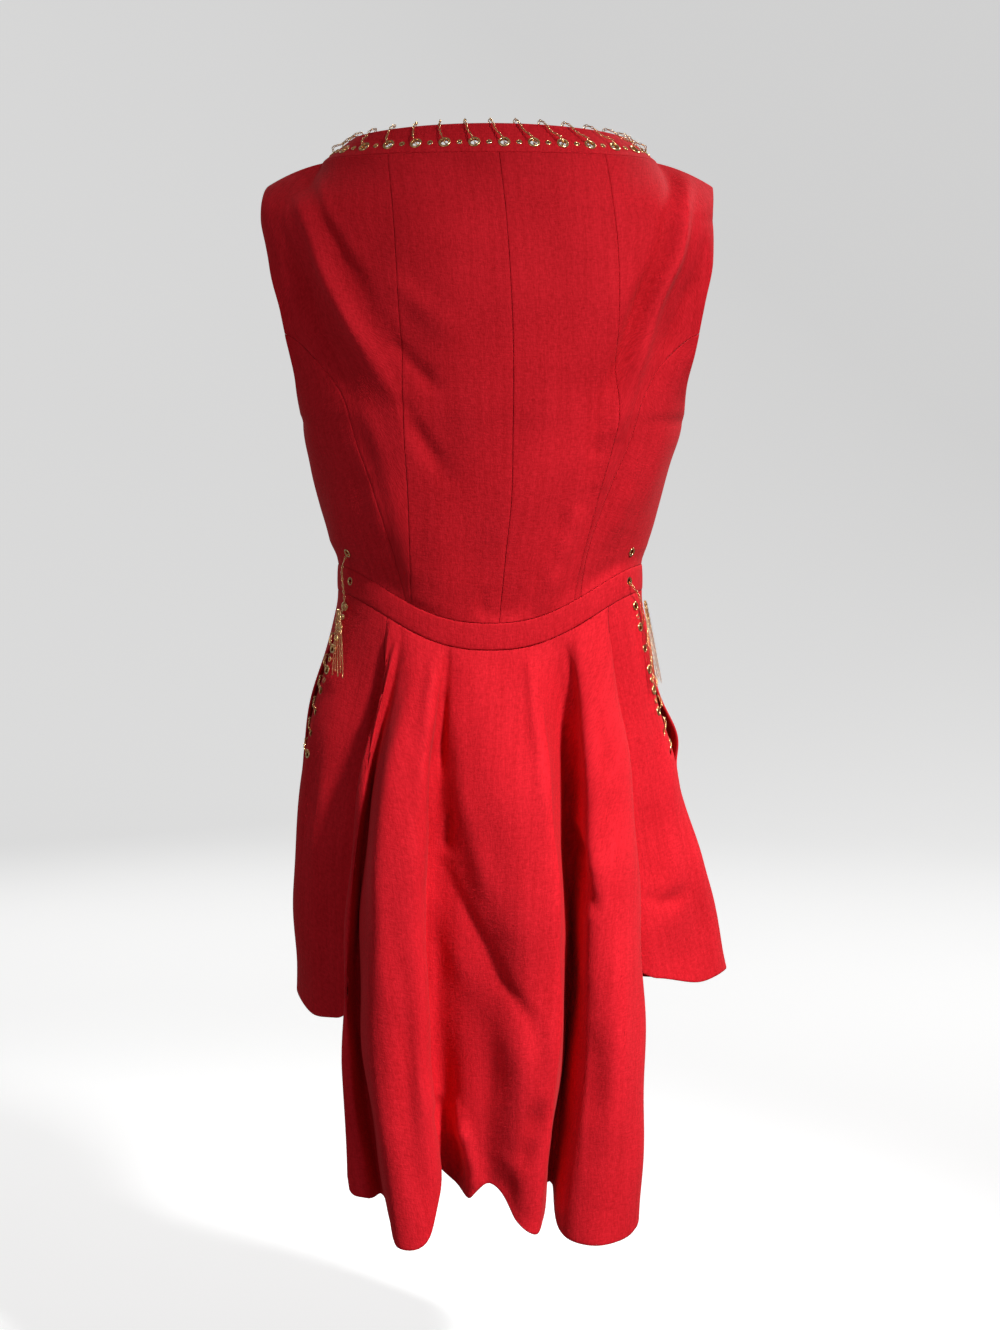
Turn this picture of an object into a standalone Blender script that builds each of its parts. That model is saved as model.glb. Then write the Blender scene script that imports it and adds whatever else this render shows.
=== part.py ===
"""Mini dress: sleeveless bodice in shaped panels, dipped waistband, long pleated back skirt.

The back of the dress faces -Y, the wearer's right is +X and up is +Z. The origin is where the
shoulders hold it. Sizes are millimetres, and the finished meshes are scaled to metres.
"""
import bpy
import bmesh
import math
import numpy as np
from mathutils import Matrix, Vector

MM = 0.001
WALL = 1.5            # cloth thickness
SEAM = 0.15           # half of the gap that two pieces leave at a seam
SEAT = 0.5            # clearance under metal that lies on cloth

# The bodice and waistband as sections round the body, from the yoke down.
# drop: how far below the origin the section is, its place on the surface's second axis
# mid, edge: height at the centre back and at the armhole edge or side seam
# half: half width, back and front: depths, back_edge, front_edge: depth of the armhole edges
# lean: sideways shift of the whole section
BODY_COLUMNS = ("drop", "mid", "edge", "half", "back", "back_edge", "front", "front_edge", "lean")
BODY_ROWS = (
    (45, -45, -52, 188.0, 98, 26, 104, 26, -2.0),
    (85, -85, -88, 183.5, 107, 42, 112, 44, 0.5),
    (125, -125, -125, 175.0, 110, 50, 119, 54, 2.0),
    (165, -165, -163, 168.5, 110, 48, 124, 52, 2.0),
    (190, -190, -188, 164.5, 109, 38, 125, 41, 1.5),
    (207, -207, -206, 162.5, 108, 22, 125, 23, 1.5),
    (213, -213, -213, 162.0, 107.5, 13, 124.5, 13, 1.5),
    (217, -217, -217, 161.5, 107, 0, 124, 0, 1.5),
    (260, -260, -255, 153.0, 103, 0, 117, 0, 0.5),
    (305, -305, -292, 144.0, 97, 0, 107, 0, -1.5),
    (345, -345, -318, 136.5, 91, 0, 97, 0, -2.0),
    (382, -382, -338, 130.0, 86, 0, 90, 0, 0.0),
    (404, -404, -360, 130.5, 87, 0, 91, 0, 0.0),
)
UNDERARM = 217
DIP_POWER = 2.4       # the waistband's dip: flat at the centre back, steep on the way to the sides
ARMHOLE_TOP = 9.0     # the armholes are rounded below the shoulder seams by this much
ARMHOLE_ROUND = 45.0  # over this drop
SECTION_POWER = 2.15  # 2 is an ellipse, more is squarer
EDGE_POWER = 2.5      # how near the armhole edge a section turns out to meet it
SECTION_STEPS = 400   # points worked out on each half section
STATIONS = 65         # points kept on it
ACROSS_STEPS = 161    # trial points when a sideways position is looked for

# The neckband leans in from the neck seam to the neck edge.
NECK_SEAM = dict(half=140.0, back=86.0, front=98.0, side_z=-1.0, back_z=-3.0, front_z=-26.0)
NECK_EDGE = dict(half=114.5, back=68.0, front=80.0, side_z=18.0, back_z=22.5, front_z=-2.0)
NECK_SHARE = 0.78     # share of the top section that the neck seam takes, the rest is shoulder seam
SHOULDER_END = (188.0, 0.0, -21.0)
SHOULDER_RISE = 2.5   # the shoulder seam arches by this much

# Panel seams of the back, as the sideways place of the seam at each drop.
BACK_SEAMS = {
    "centre": ((0, 8), (59, 14), (103, 17), (154, 19), (231, 19), (277, 18), (328, 13), (382, 8)),
    "princess_left": ((0, -82), (43, -78), (102, -74), (199, -70), (285, -66), (382, -64)),
    "princess_right": ((0, 94), (58, 102), (146, 104), (214, 104), (289, 88), (345, 76), (382, 70)),
    "side_left": ((146, -168), (152, -160), (168, -143), (190, -125), (241, -107), (285, -92), (330, -80),
                  (382, -69)),
    "side_right": ((146, 172), (152, 164), (168, 147), (196, 127), (239, 113), (278, 98), (330, 82),
                   (382, 75)),
}
ARMHOLE_JOIN = 147.0  # drop at which the side seams of the back start, on the armhole edge
JOIN_END = 150.0      # drop at which they have left it
JOIN_START = 148.4    # drop at which the underarm panels start on the armhole edge
YOKE_DROPS = (0, 20, 50, 84, 118)
LOWER_DROPS = (147, 150, 160, 176, 194, 207, 217, 250, 290, 330, 360, 382)
PANEL_COLUMNS = 5     # mesh columns of a panel below the neck, and of one up to the side seam
SIDE_COLUMNS = 7
NECK_COLUMNS = 6      # mesh columns of a yoke panel along the neck seam, and along the shoulder seam
SHOULDER_COLUMNS = 4
FRONT_NECK_COLUMNS = 11
WAIST_TOP = 382.0
WAIST_LOW = 404.0

# The skirt as ribs from the waistband down to the hem, in order round the dress.
# waist: sideways place on the waistband, front: 1 where the rib lies on the front half
# hip and low: plan place at the hip level and at the low level, hem: plan place and height
HIP_Z = -506.0
LOW_Z_LONG = -700.0   # low level of the long back
LOW_Z_SHORT = -620.0  # low level of the sides and front
RIB_COLUMNS = ("waist", "front", "hip_x", "hip_y", "low_x", "low_y", "hem_x", "hem_y", "hem_z")
RIBS = {
    "tuck_left": (-85, 0, -98, -73, -110, -77, -111, -78, -719),
    "fold1_edge": (-80, 0, -106, -98, -121, -118, -116, -124, -849),
    "fold1_face": (-76, 0, -101, -104, -117, -123, -102, -129, -854),
    "groove1": (-71, 0, -95, -91, -109, -103, -90, -114, -856),
    "fold2_left": (-64, 0, -91, -114, -103, -141, -81, -155, -863),
    "fold2_face": (-54, 0, -82, -134, -92, -163, -73, -178, -877),
    "fold2_right": (-42, 0, -55, -138, -59, -168, -47, -177, -868),
    "fold2_edge": (-36, 0, -47, -127, -50, -155, -37, -160, -828),
    "groove2": (-32, 0, -49, -111, -54, -132, -43, -138, -822),
    "centre_left": (-27, 0, -37, -112, -41, -128, -31, -134, -837),
    "centre_lobe": (-18, 0, -21, -124, -21, -141, -18, -155, -845),
    "centre_face": (0, 0, 0, -134, 2, -151, 0, -156, -832),
    "centre_right": (21, 0, 26, -138, 30, -169, 20, -172, -857),
    "fold3_edge": (36, 0, 48, -135, 56, -165, 38, -170, -869),
    "fold3_back": (42, 0, 51, -122, 59, -150, 43, -156, -862),
    "groove3": (55, 0, 63, -88, 65, -104, 50, -114, -846),
    "fold4_left": (67, 0, 73, -111, 73, -143, 57, -151, -872),
    "fold4_shoulder": (73, 0, 78, -130, 80, -160, 68, -166, -877),
    "fold4_face": (82, 0, 94, -131, 101, -161, 92, -169, -879),
    "fold4_right": (90, 0, 110, -115, 121, -143, 119, -149, -875),
    "fold4_edge": (95, 0, 116, -100, 127, -122, 124, -131, -856),
    "tuck_right": (99, 0, 103, -73, 108, -78, 110, -80, -684),
    "side_right_back": (106, 0, 124, -65, 134, -70, 142, -68, -685),
    "side_right_mid": (115, 0, 143, -48, 165, -48, 181, -42, -695),
    "slit_right": (123, 0, 156, -27, 190, -22, 207, -10, -692),
    "front_right_side": (127, 1, 150, 30, 182, 42, 196, 52, -704),
    "front_right": (92, 1, 122, 82, 146, 100, 158, 110, -730),
    "front_right_mid": (48, 1, 68, 116, 84, 136, 92, 148, -734),
    "front_middle": (0, 1, 0, 123, -2, 138, -3, 146, -733),
    "front_left_mid": (-48, 1, -66, 115, -80, 132, -87, 142, -736),
    "front_left": (-92, 1, -116, 80, -130, 90, -134, 98, -738),
    "front_left_side": (-127, 1, -150, 28, -163, 34, -164, 38, -722),
    "slit_left": (-123, 0, -159, -28, -169, -26, -168, -16, -712),
    "side_left_mid": (-112, 0, -142, -50, -153, -50, -152, -46, -722),
    "side_left_back": (-98, 0, -119, -64, -132, -65, -131, -62, -721),
}
COLUMNS_BETWEEN = 2   # mesh columns between two ribs of the pleats
COLUMNS_WIDE = 3      # mesh columns between two ribs of the sides and front
ROWS_LONG = 15        # mesh rows of the back skirt, and of the sides and front
ROWS_SHORT = 14

# The pocket slits in the side-front seams, and how far the front edge stands out.
SLIT_TOP = -367.0
SLIT_END = -514.0
SLIT_EASE = 14.0      # the slit opens over this length at its ends
GAPE_OUT = {"left": 4.5, "right": 8.0}
GAPE_PEAK = {"left": 0.55, "right": 0.78}
GAPE_FORWARD = 6.5
GAPE_GAP = 1.0        # and how far at least, all along the slit
GAPE_COLUMNS = 3.5    # over so many mesh columns the gape fades into the front
SLIT_REACH = 7.0      # how far places by the slit are looked for, on the skirt's first axis
SLIT_STEPS = 141      # trial points over that reach
RIB_STEPS = 60        # trial points down a rib
BACKING_EDGE = 2.0    # depth of the pocket backing's outer face below the cloth's, at its edges
BACKING_MIDDLE = 6.1  # and behind the slit, where the chain passes in front of it
BACKING_HALF = 24.0
BACKING_ROWS = 8
BACKING_COLUMNS = 5

# Metal
NECK_EYELETS = 28
NECK_EYELET_HEIGHT = 0.34
NECK_RING = dict(inner=3.1, outer=5.15, thick=1.3, hole=3.7)
HIP_RING = dict(inner=2.4, outer=4.0, thick=1.2, hole=3.2)
RING_SIDES = 8
CHAIN_RADIUS = 1.1
HIP_CHAIN_RADIUS = 1.0
HIP_EYELETS = 8
HIP_EYELET_FIRST = -371.0
HIP_EYELET_PITCH = 18.0
HIP_EYELET_INBOARD = 7.0
# Eyelets by the waistband, one over the other: sideways place and drop
WAIST_EYELETS = {"bodice": (119.0, 357.0), "band": (117.0, 393.0)}
# One stitch of the neck chain: along the edge, height as a share of the band, out from the cloth
NECK_STITCH = ((0.0, 0.34, 0.0), (-1.6, 0.40, 3.7), (-6.6, 0.68, 2.4), (-10.0, 0.98, 2.3),
               (-11.9, 1.14, -0.75), (-13.8, 0.97, -3.9), (-23.4, 0.38, -4.0))
# Start of the hip chain by its waist eyelet: out from the cloth and up
CHAIN_START = ((-3.2, -1.7), (0.9, -1.7), (3.6, -4.5))
# Free stretch of the hip chain: height, inboard of the pocket edge, out from the cloth
HANG = {
    "left": ((-372.0, 12.5, 4.6), (-381.0, 9.0, 3.4)),
    "right": ((-364.0, 5.0, 4.2), (-377.0, 4.5, 3.4)),
}
# One stitch round the pocket edge: down from the eyelet, inboard of the edge, out from the cloth
EDGE_STITCH = ((4.5, 5.5, 3.2), (1.7, 7.0, 1.1), (1.3, 7.0, -3.0), (-5.0, 1.2, -3.0),
               (-6.2, -2.4, -2.8), (-7.4, -2.4, 1.2), (-8.6, 1.2, 2.0))
LAST_STITCH = 3       # the lowest stitch stops in its eyelet, after so many places

# Tassels: height, inboard place and distance out from the cloth, of the head and of the ends
TASSEL_COLUMNS = ("head_z", "head_inboard", "head_out", "end_z", "end_inboard", "end_out")
TASSELS = {
    "left": (-376.0, 11.5, 7.1, -425.0, 27.0, 4.4),
    "right": (-371.0, 4.6, 7.6, -438.0, 8.6, 6.0),
}
TASSEL_HEAD = dict(radius=3.0, top=1.6, height=5.0, wide=1.9, deep=0.7)
TASSEL_STRANDS = 5
TASSEL_PITCH = 2.1
STRAND_RADIUS = 0.85
SHORT_STRAND = 0.94   # every second strand is this much shorter

RED = (0.56, 0.012, 0.022, 1.0)
BRASS = (0.83, 0.55, 0.28, 1.0)


def clear_scene():
    for item in list(bpy.data.objects):
        bpy.data.objects.remove(item, do_unlink=True)


def collection(name):
    group = bpy.data.collections.new(name)
    bpy.context.scene.collection.children.link(group)
    return group


def material(name, colour, roughness, metallic):
    made = bpy.data.materials.new(name)
    made.use_nodes = True
    shader = made.node_tree.nodes["Principled BSDF"]
    shader.inputs["Base Color"].default_value = colour
    shader.inputs["Roughness"].default_value = roughness
    shader.inputs["Metallic"].default_value = metallic
    made.diffuse_color = colour
    return made


def unit(vectors):
    length = np.linalg.norm(vectors, axis=-1, keepdims=True)
    return vectors / np.maximum(length, 1e-9)


def hermite(knots, values, at, limited=False):
    """Cells, steps and slopes of a smooth curve through values at knots, read at the places 'at'.

    Slopes come from the neighbours on each side, weighted by the spacing of the knots. A limited
    curve never swings past its knots.
    """
    knots = np.asarray(knots, float)
    values = np.asarray(values, float)
    step = np.diff(knots).reshape((-1,) + (1,) * (values.ndim - 1))
    rise = np.diff(values, axis=0) / step
    slopes = np.empty_like(values)
    slopes[0] = rise[0]
    slopes[-1] = rise[-1]
    slopes[1:-1] = (rise[:-1] * step[1:] + rise[1:] * step[:-1]) / (step[1:] + step[:-1])
    if limited:
        same = rise[:-1] * rise[1:] > 0
        total = np.where(same, rise[:-1] + rise[1:], 1.0)
        slopes[1:-1] = np.where(same, 2 * rise[:-1] * rise[1:] / total, 0.0)
    place = np.clip(np.searchsorted(knots, at, side="right") - 1, 0, len(knots) - 2)
    gap = knots[place + 1] - knots[place]
    u = (at - knots[place]) / gap
    return place, gap, u, slopes


def blend(place, gap, u, slopes, values, column=None):
    """Cubic blend of the values on both sides of each place."""
    if column is None:
        low, high = values[place], values[place + 1]
        slope_low, slope_high = slopes[place], slopes[place + 1]
    else:
        low, high = values[place, column], values[place + 1, column]
        slope_low, slope_high = slopes[place, column], slopes[place + 1, column]
    extra = (1,) * (low.ndim - np.ndim(u))
    u = np.reshape(u, np.shape(u) + extra)
    gap = np.reshape(gap, np.shape(gap) + extra)
    return ((1 + 2 * u) * (1 - u) ** 2 * low + u * (1 - u) ** 2 * gap * slope_low
            + u * u * (3 - 2 * u) * high + u * u * (u - 1) * gap * slope_high)


def neck_ring(form, angle):
    """Neck seam or neck edge at an angle from the centre back, 90 degrees at the shoulder."""
    turn = np.radians(angle)
    back = np.cos(turn) > 0
    depth = np.where(back, form["back"], form["front"])
    mid_z = np.where(back, form["back_z"], form["front_z"])
    z = form["side_z"] + (mid_z - form["side_z"]) * np.cos(turn) ** 2
    return np.stack([form["half"] * np.sin(turn), -depth * np.cos(turn), z], axis=-1)


def neckband_point(angle, height):
    """Neckband: straight from the seam at height 0 to the edge at height 1."""
    height = np.asarray(height, float)[..., None]
    return neck_ring(NECK_SEAM, angle) * (1 - height) + neck_ring(NECK_EDGE, angle) * height


def neckband_normal(angle, height):
    along = neckband_point(angle + 0.5, height) - neckband_point(angle - 0.5, height)
    up = neckband_point(angle, height + 0.05) - neckband_point(angle, height - 0.05)
    return unit(np.cross(along, up))


def top_section(facing):
    """Right half of the top section: the neck seam, then the shoulder seam."""
    share = np.linspace(0, 1, STATIONS)
    neck_angle = 90 * np.minimum(share / NECK_SHARE, 1)
    neck = neck_ring(NECK_SEAM, neck_angle if facing < 0 else 180 - neck_angle)
    over = np.clip((share - NECK_SHARE) / (1 - NECK_SHARE), 0, 1)[:, None]
    start = neck_ring(NECK_SEAM, np.array(90.0))
    shoulder = start * (1 - over) + np.array(SHOULDER_END) * over
    shoulder[:, 2] += SHOULDER_RISE * 4 * over[:, 0] * (1 - over[:, 0])
    return np.where(over > 0, shoulder, neck)


def body_section(row, facing):
    """Right half of a section: a squarish ellipse that turns out to the armhole edge, in equal steps."""
    turn = np.linspace(0, math.pi / 2, SECTION_STEPS)
    power = 2 / SECTION_POWER
    depth, edge = (row["back"], row["back_edge"]) if facing < 0 else (row["front"], row["front_edge"])
    x = row["half"] * np.sin(turn) ** power
    inward = np.cos(turn) ** power
    y = depth * inward + edge * (1 - inward) ** EDGE_POWER
    run = np.concatenate([[0], np.cumsum(np.hypot(np.diff(x), np.diff(y)))])
    even = np.linspace(0, run[-1], STATIONS)
    x = np.interp(even, run, x)
    y = np.interp(even, run, y)
    mid = row["mid"] if facing < 0 or row["drop"] <= UNDERARM else row["edge"]
    across = (1 - np.clip(x / row["half"], 0, 1) ** DIP_POWER) ** 2
    z = row["edge"] + (mid - row["edge"]) * across
    return np.stack([x, facing * y, z], axis=-1)


def body_net(facing):
    rows = [dict(zip(BODY_COLUMNS, row)) for row in BODY_ROWS]
    drops = np.array([0.0] + [row["drop"] for row in rows])
    net = np.array([top_section(facing)] + [body_section(row, facing) for row in rows])
    lean = np.array([0.0] + [row["lean"] for row in rows])
    return drops, net, lean


BODY = {-1: body_net(-1), 1: body_net(1)}


def body_point(facing, across, drop):
    """Bodice surface: across is -1 at the left edge, 0 in the middle, 1 at the right edge."""
    across, drop = np.broadcast_arrays(np.asarray(across, float), np.asarray(drop, float))
    shape = across.shape
    across, drop = across.ravel(), drop.ravel()
    drops, net, lean = BODY[facing]
    station = np.minimum(np.abs(across), 1) * (STATIONS - 1)
    low = np.minimum(station.astype(int), STATIONS - 2)
    part = (station - low)[:, None]
    columns = net[:, low] * (1 - part) + net[:, low + 1] * part
    place, gap, u, slopes = hermite(drops, columns, drop, limited=True)
    points = blend(place, gap, u, slopes, columns, np.arange(len(drop)))
    points[:, 0] *= np.where(across < 0, -1, 1)
    points[:, 0] += np.interp(drop, drops, lean)
    rounding = np.sin(math.pi * np.clip(drop / ARMHOLE_ROUND, 0, 1)) * np.abs(across) ** 6
    points[:, 1] += facing * ARMHOLE_TOP * rounding
    return points.reshape(shape + (3,))


def body_normal(facing, across, drop):
    step_across, step_drop = 0.012, 2.0
    right = body_point(facing, np.clip(across + step_across, -1, 1), drop)
    left = body_point(facing, np.clip(across - step_across, -1, 1), drop)
    low = body_point(facing, across, np.minimum(drop + step_drop, WAIST_LOW))
    high = body_point(facing, across, np.maximum(drop - step_drop, 0))
    return unit(np.cross(right - left, high - low)) * -facing


def body_across(facing, x, drop):
    """Surface place of a sideways position at a drop."""
    x, drop = np.broadcast_arrays(np.asarray(x, float), np.asarray(drop, float))
    trial = np.linspace(-1, 1, ACROSS_STEPS)
    found = [np.interp(one_x, body_point(facing, trial, one_drop)[:, 0], trial)
             for one_x, one_drop in zip(x.ravel(), drop.ravel())]
    return np.reshape(found, x.shape)


def seam_across(name, drop):
    """A back seam's place on the surface, read from its table."""
    table = np.array(BACK_SEAMS[name], float)
    place, gap, u, slopes = hermite(table[:, 0], table[:, 1], drop)
    x = blend(place, gap, u, slopes, table[:, 1])
    return body_across(-1, x, drop)


def top_normal(facing, across, normal):
    """Normals of the top section, shared with the neckband and with the other shoulder."""
    share = np.abs(across) / NECK_SHARE
    angle = 90 * np.minimum(share, 1) * np.sign(across)
    angle = angle if facing < 0 else 180 - angle
    shared = unit(normal + neckband_normal(angle, np.zeros_like(angle)))
    mixed = np.where((share < 1 + 1e-6)[:, None], shared, normal)
    level = unit(mixed * np.array([1.0, 0.0, 1.0]))
    return np.where((share < 1 - 1e-6)[:, None], mixed, level)


# The skirt's surface: ribs joined round the dress
RIB_NAMES = list(RIBS)


def skirt_places():
    """Places of the ribs on the surface's first axis, by the root of their spacing at the low level."""
    rows = [dict(zip(RIB_COLUMNS, RIBS[name])) for name in RIB_NAMES]
    plan = np.array([[row["low_x"], row["low_y"]] for row in rows], float)
    step = np.linalg.norm(np.roll(plan, -1, axis=0) - plan, axis=1) ** 0.5
    return np.concatenate([[0], np.cumsum(step)])


RIB_PLACES = skirt_places()


def rib_knots(name):
    """The four places that a rib runs through: waistband, hip level, low level and hem."""
    row = dict(zip(RIB_COLUMNS, RIBS[name]))
    facing = 1 if row["front"] else -1
    top = body_point(facing, body_across(facing, row["waist"], WAIST_LOW), WAIST_LOW)
    low_z = LOW_Z_LONG if row["hem_z"] < -745 else LOW_Z_SHORT
    return np.array([
        top,
        (row["hip_x"], row["hip_y"], HIP_Z),
        (row["low_x"], row["low_y"], low_z),
        (row["hem_x"], row["hem_y"], row["hem_z"]),
    ], float)


RIB_KNOTS = {name: rib_knots(name) for name in RIB_NAMES}


def rib_curve(name, fall):
    """Points of one rib, at falls from 0 on the waistband to 1 at the hem."""
    knots = RIB_KNOTS[name]
    z = knots[0, 2] + (knots[-1, 2] - knots[0, 2]) * fall
    place, gap, u, slopes = hermite(-knots[:, 2], knots, -z)
    points = blend(place, gap, u, slopes, knots)
    points[:, 2] = z
    return points


def skirt_point(place, fall):
    """Skirt surface on a grid: falls down, rib places across, repeating round the dress."""
    ribs = np.array([rib_curve(name, fall) for name in RIB_NAMES])
    turn = RIB_PLACES[-1]
    around = 2
    wrapped = np.concatenate([ribs[-around:], ribs, ribs[:around + 1]])
    knots = np.concatenate([RIB_PLACES[-1 - around:-1] - turn, RIB_PLACES, RIB_PLACES[1:around + 1] + turn])
    at = np.mod(place, turn)
    cell, gap, u, slopes = hermite(knots, wrapped, at)
    return np.swapaxes(blend(cell, gap, u, slopes, wrapped), 0, 1)


def skirt_normal(place, fall):
    step_place, step_fall = 0.05, 0.004
    right = skirt_point(place + step_place, fall)
    left = skirt_point(place - step_place, fall)
    low = skirt_point(place, np.minimum(fall + step_fall, 1))
    high = skirt_point(place, np.maximum(fall - step_fall, 0))
    normal = unit(np.cross(right - left, high - low))
    level = unit(normal * np.array([1.0, 1.0, 0.0]))
    at_waist = (fall <= 0)[:, None, None]
    return np.where(at_waist, level, normal)


def grid_faces(rows, columns, first=0, flip=False):
    """Quads of a grid of vertices numbered row by row."""
    faces = []
    for r in range(rows - 1):
        for c in range(columns - 1):
            a = first + r * columns + c
            quad = (a, a + columns, a + columns + 1, a + 1)
            faces.append(quad[::-1] if flip else quad)
    return faces


def pull_seams(points, seams):
    """Moves the edges named in seams inward, to leave the gap to the next piece."""
    moved = points.copy()
    if "top" in seams:
        moved[0] += SEAM * unit(points[1] - points[0])
    if "bottom" in seams:
        moved[-1] += SEAM * unit(points[-2] - points[-1])
    if "left" in seams:
        moved[:, 0] += SEAM * unit(points[:, 1] - points[:, 0])
    if "right" in seams:
        moved[:, -1] += SEAM * unit(points[:, -2] - points[:, -1])
    return moved


def cloth(name, outer, normals, seams, group, finish, thickness=WALL):
    """One cut piece: the outer grid, the same grid moved in by the thickness, and its rims."""
    outer = pull_seams(outer, seams)
    inner = outer - normals * thickness
    rows, columns = outer.shape[:2]
    count = rows * columns
    vertices = np.concatenate([outer.reshape(-1, 3), inner.reshape(-1, 3)]) * MM
    faces = grid_faces(rows, columns)
    faces += grid_faces(rows, columns, count, flip=True)
    rim = [c for c in range(columns)]
    rim += [r * columns + columns - 1 for r in range(1, rows)]
    rim += [(rows - 1) * columns + c for c in range(columns - 2, -1, -1)]
    rim += [r * columns for r in range(rows - 2, 0, -1)]
    for a, b in zip(rim, rim[1:] + rim[:1]):
        faces.append((a, b, b + count, a + count))
    return mesh_object(name, vertices.tolist(), faces, group, finish)


def mesh_object(name, vertices, faces, group, finish):
    mesh = bpy.data.meshes.new(name)
    mesh.from_pydata(vertices, [], faces)
    work = bmesh.new()
    work.from_mesh(mesh)
    bmesh.ops.recalc_face_normals(work, faces=work.faces)
    work.to_mesh(mesh)
    work.free()
    mesh.materials.append(finish)
    made = bpy.data.objects.new(name, mesh)
    group.objects.link(made)
    return made


def panel_parts(left, right, at_neck):
    """Column places across a panel, with one on the neck corner where its top edge turns there."""
    widest = max(abs(left), abs(right))
    if not at_neck or widest <= NECK_SHARE:
        return np.linspace(0, 1, SIDE_COLUMNS if widest > 1 - 1e-6 else PANEL_COLUMNS)
    share = (NECK_SHARE * np.sign(left + right) - left) / (right - left)
    counts = (SHOULDER_COLUMNS, NECK_COLUMNS)
    first, second = counts if share < 0.5 else counts[::-1]
    return np.concatenate([np.linspace(0, share, first)[:-1], np.linspace(share, 1, second)])


def back_panel(name, left, right, drops, group, finish):
    """A back panel between two seams or edges, and the places of its columns at top and bottom."""
    drop = np.array(drops, float)
    sides = []
    for seam in (left, right):
        if seam in BACK_SEAMS:
            first = BACK_SEAMS[seam][0][0]
            found = seam_across(seam, np.maximum(drop, first))
            edge = -1.0 if "left" in seam else 1.0
            sides.append(np.where(drop <= ARMHOLE_JOIN, edge, found) if first > 1 else found)
        else:
            sides.append(np.full(len(drop), float(seam)))
    part = panel_parts(sides[0][0], sides[1][0], drops[0] == 0)
    across = sides[0][:, None] * (1 - part) + sides[1][:, None] * part
    drop = np.repeat(drop[:, None], len(part), axis=1)
    if drops[0] == JOIN_END:
        # the top edge of an underarm panel slants up to where the side seam leaves the armhole
        from_armhole = part if sides[0][0] == -1 else 1 - part
        drop[0] = JOIN_START + (JOIN_END - JOIN_START) * from_armhole
    outer = body_point(-1, across, drop)
    normals = body_normal(-1, across, drop)
    if drops[0] == 0:
        normals[0] = top_normal(-1, across[0], normals[0])
    made = cloth(name, outer, normals, ("top", "bottom", "left", "right"), group, finish)
    return made, across[0], across[-1]


def front_bodice(group, finish):
    """The front bodice in one piece, shaped to the bust by its darts."""
    drop = np.array(YOKE_DROPS + LOWER_DROPS[:1] + LOWER_DROPS[3:], float)
    half = np.concatenate([np.linspace(0, NECK_SHARE, FRONT_NECK_COLUMNS),
                           np.linspace(NECK_SHARE, 1, SHOULDER_COLUMNS)[1:]])
    across = np.concatenate([half[::-1], -half[1:]])
    across, drop = np.meshgrid(across, drop)
    outer = body_point(1, across, drop)
    normals = body_normal(1, across, drop)
    normals[0] = top_normal(1, across[0], normals[0])
    made = cloth("front_bodice", outer, normals, ("top", "bottom", "left", "right"), group, finish)
    return made, across[0], across[-1]


def distinct(places, least):
    """Sorted places with those nearer than 'least' to the one before left out, the ends kept."""
    kept = []
    for place in np.sort(np.concatenate(places)):
        if not kept or place - kept[-1] > least:
            kept.append(place)
    kept[-1] = max(np.max(one) for one in places)
    return np.array(kept)


def waistband(name, facing, columns, group, finish):
    """Half of the waistband, its columns on those of the panels above."""
    across = columns if facing < 0 else columns[::-1]
    across, drop = np.meshgrid(across, np.array([WAIST_TOP, WAIST_LOW]))
    outer = body_point(facing, across, drop)
    normals = body_normal(facing, across, drop)
    normals[1] = unit(normals[1] * np.array([1.0, 1.0, 0.0]))
    return cloth(name, outer, normals, ("top", "bottom", "left", "right"), group, finish)


def neckband(name, facing, columns, group, finish):
    """Half of the neckband, its columns on those of the panels below."""
    turn = columns[np.abs(columns) <= NECK_SHARE + 1e-6] / NECK_SHARE * 90
    angle = turn if facing < 0 else 180 - turn[::-1]
    angle, height = np.meshgrid(angle, np.array([1.0, 0.0]))
    outer = neckband_point(angle, height)
    normals = neckband_normal(angle, height)
    across = (angle[1] if facing < 0 else 180 - angle[1]) / 90 * NECK_SHARE
    side = body_normal(facing, across, np.zeros_like(across))
    normals[1] = unit(normals[1] + side)
    normals[:, (0, -1)] = unit(normals[:, (0, -1)] * np.array([1.0, 0.0, 1.0]))
    return cloth(name, outer, normals, ("bottom", "left", "right"), group, finish)


def rib_place(name):
    return RIB_PLACES[RIB_NAMES.index(name)]


def skirt_columns(first, last, between):
    """Places from one rib to another, with even steps between neighbouring ribs."""
    start = RIB_NAMES.index(first)
    end = RIB_NAMES.index(last)
    end = end if end > start else end + len(RIB_NAMES)
    turn = RIB_PLACES[-1]
    spots = [RIB_PLACES[k % len(RIB_NAMES)] + turn * (k // len(RIB_NAMES)) for k in range(start, end + 1)]
    columns = [np.linspace(a, b, between, endpoint=False) for a, b in zip(spots, spots[1:])]
    return np.concatenate(columns + [[spots[-1]]])


def slit_gape(points, side, at_start):
    """Moves the front skirt's edge out and forward along the pocket slit."""
    z = points[:, :, 2]
    down = np.clip((SLIT_TOP - z) / (SLIT_TOP - SLIT_END), 0, 1)
    peak = GAPE_PEAK[side]
    warp = down ** (math.log(0.5) / math.log(peak))
    lift = np.sin(math.pi * warp) ** 2
    count = points.shape[1]
    column = np.arange(count) if at_start else np.arange(count)[::-1]
    fade = np.clip(1 - column / GAPE_COLUMNS, 0, 1) ** 1.3
    out = -1.0 if side == "left" else 1.0
    moved = points.copy()
    open_share = np.clip(np.minimum(SLIT_TOP - z, z - SLIT_END) / SLIT_EASE, 0, 1)
    moved[:, :, 0] += out * (GAPE_OUT[side] * lift + GAPE_GAP * open_share) * fade
    moved[:, :, 1] += GAPE_FORWARD * open_share ** 0.8 * fade
    return moved


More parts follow.
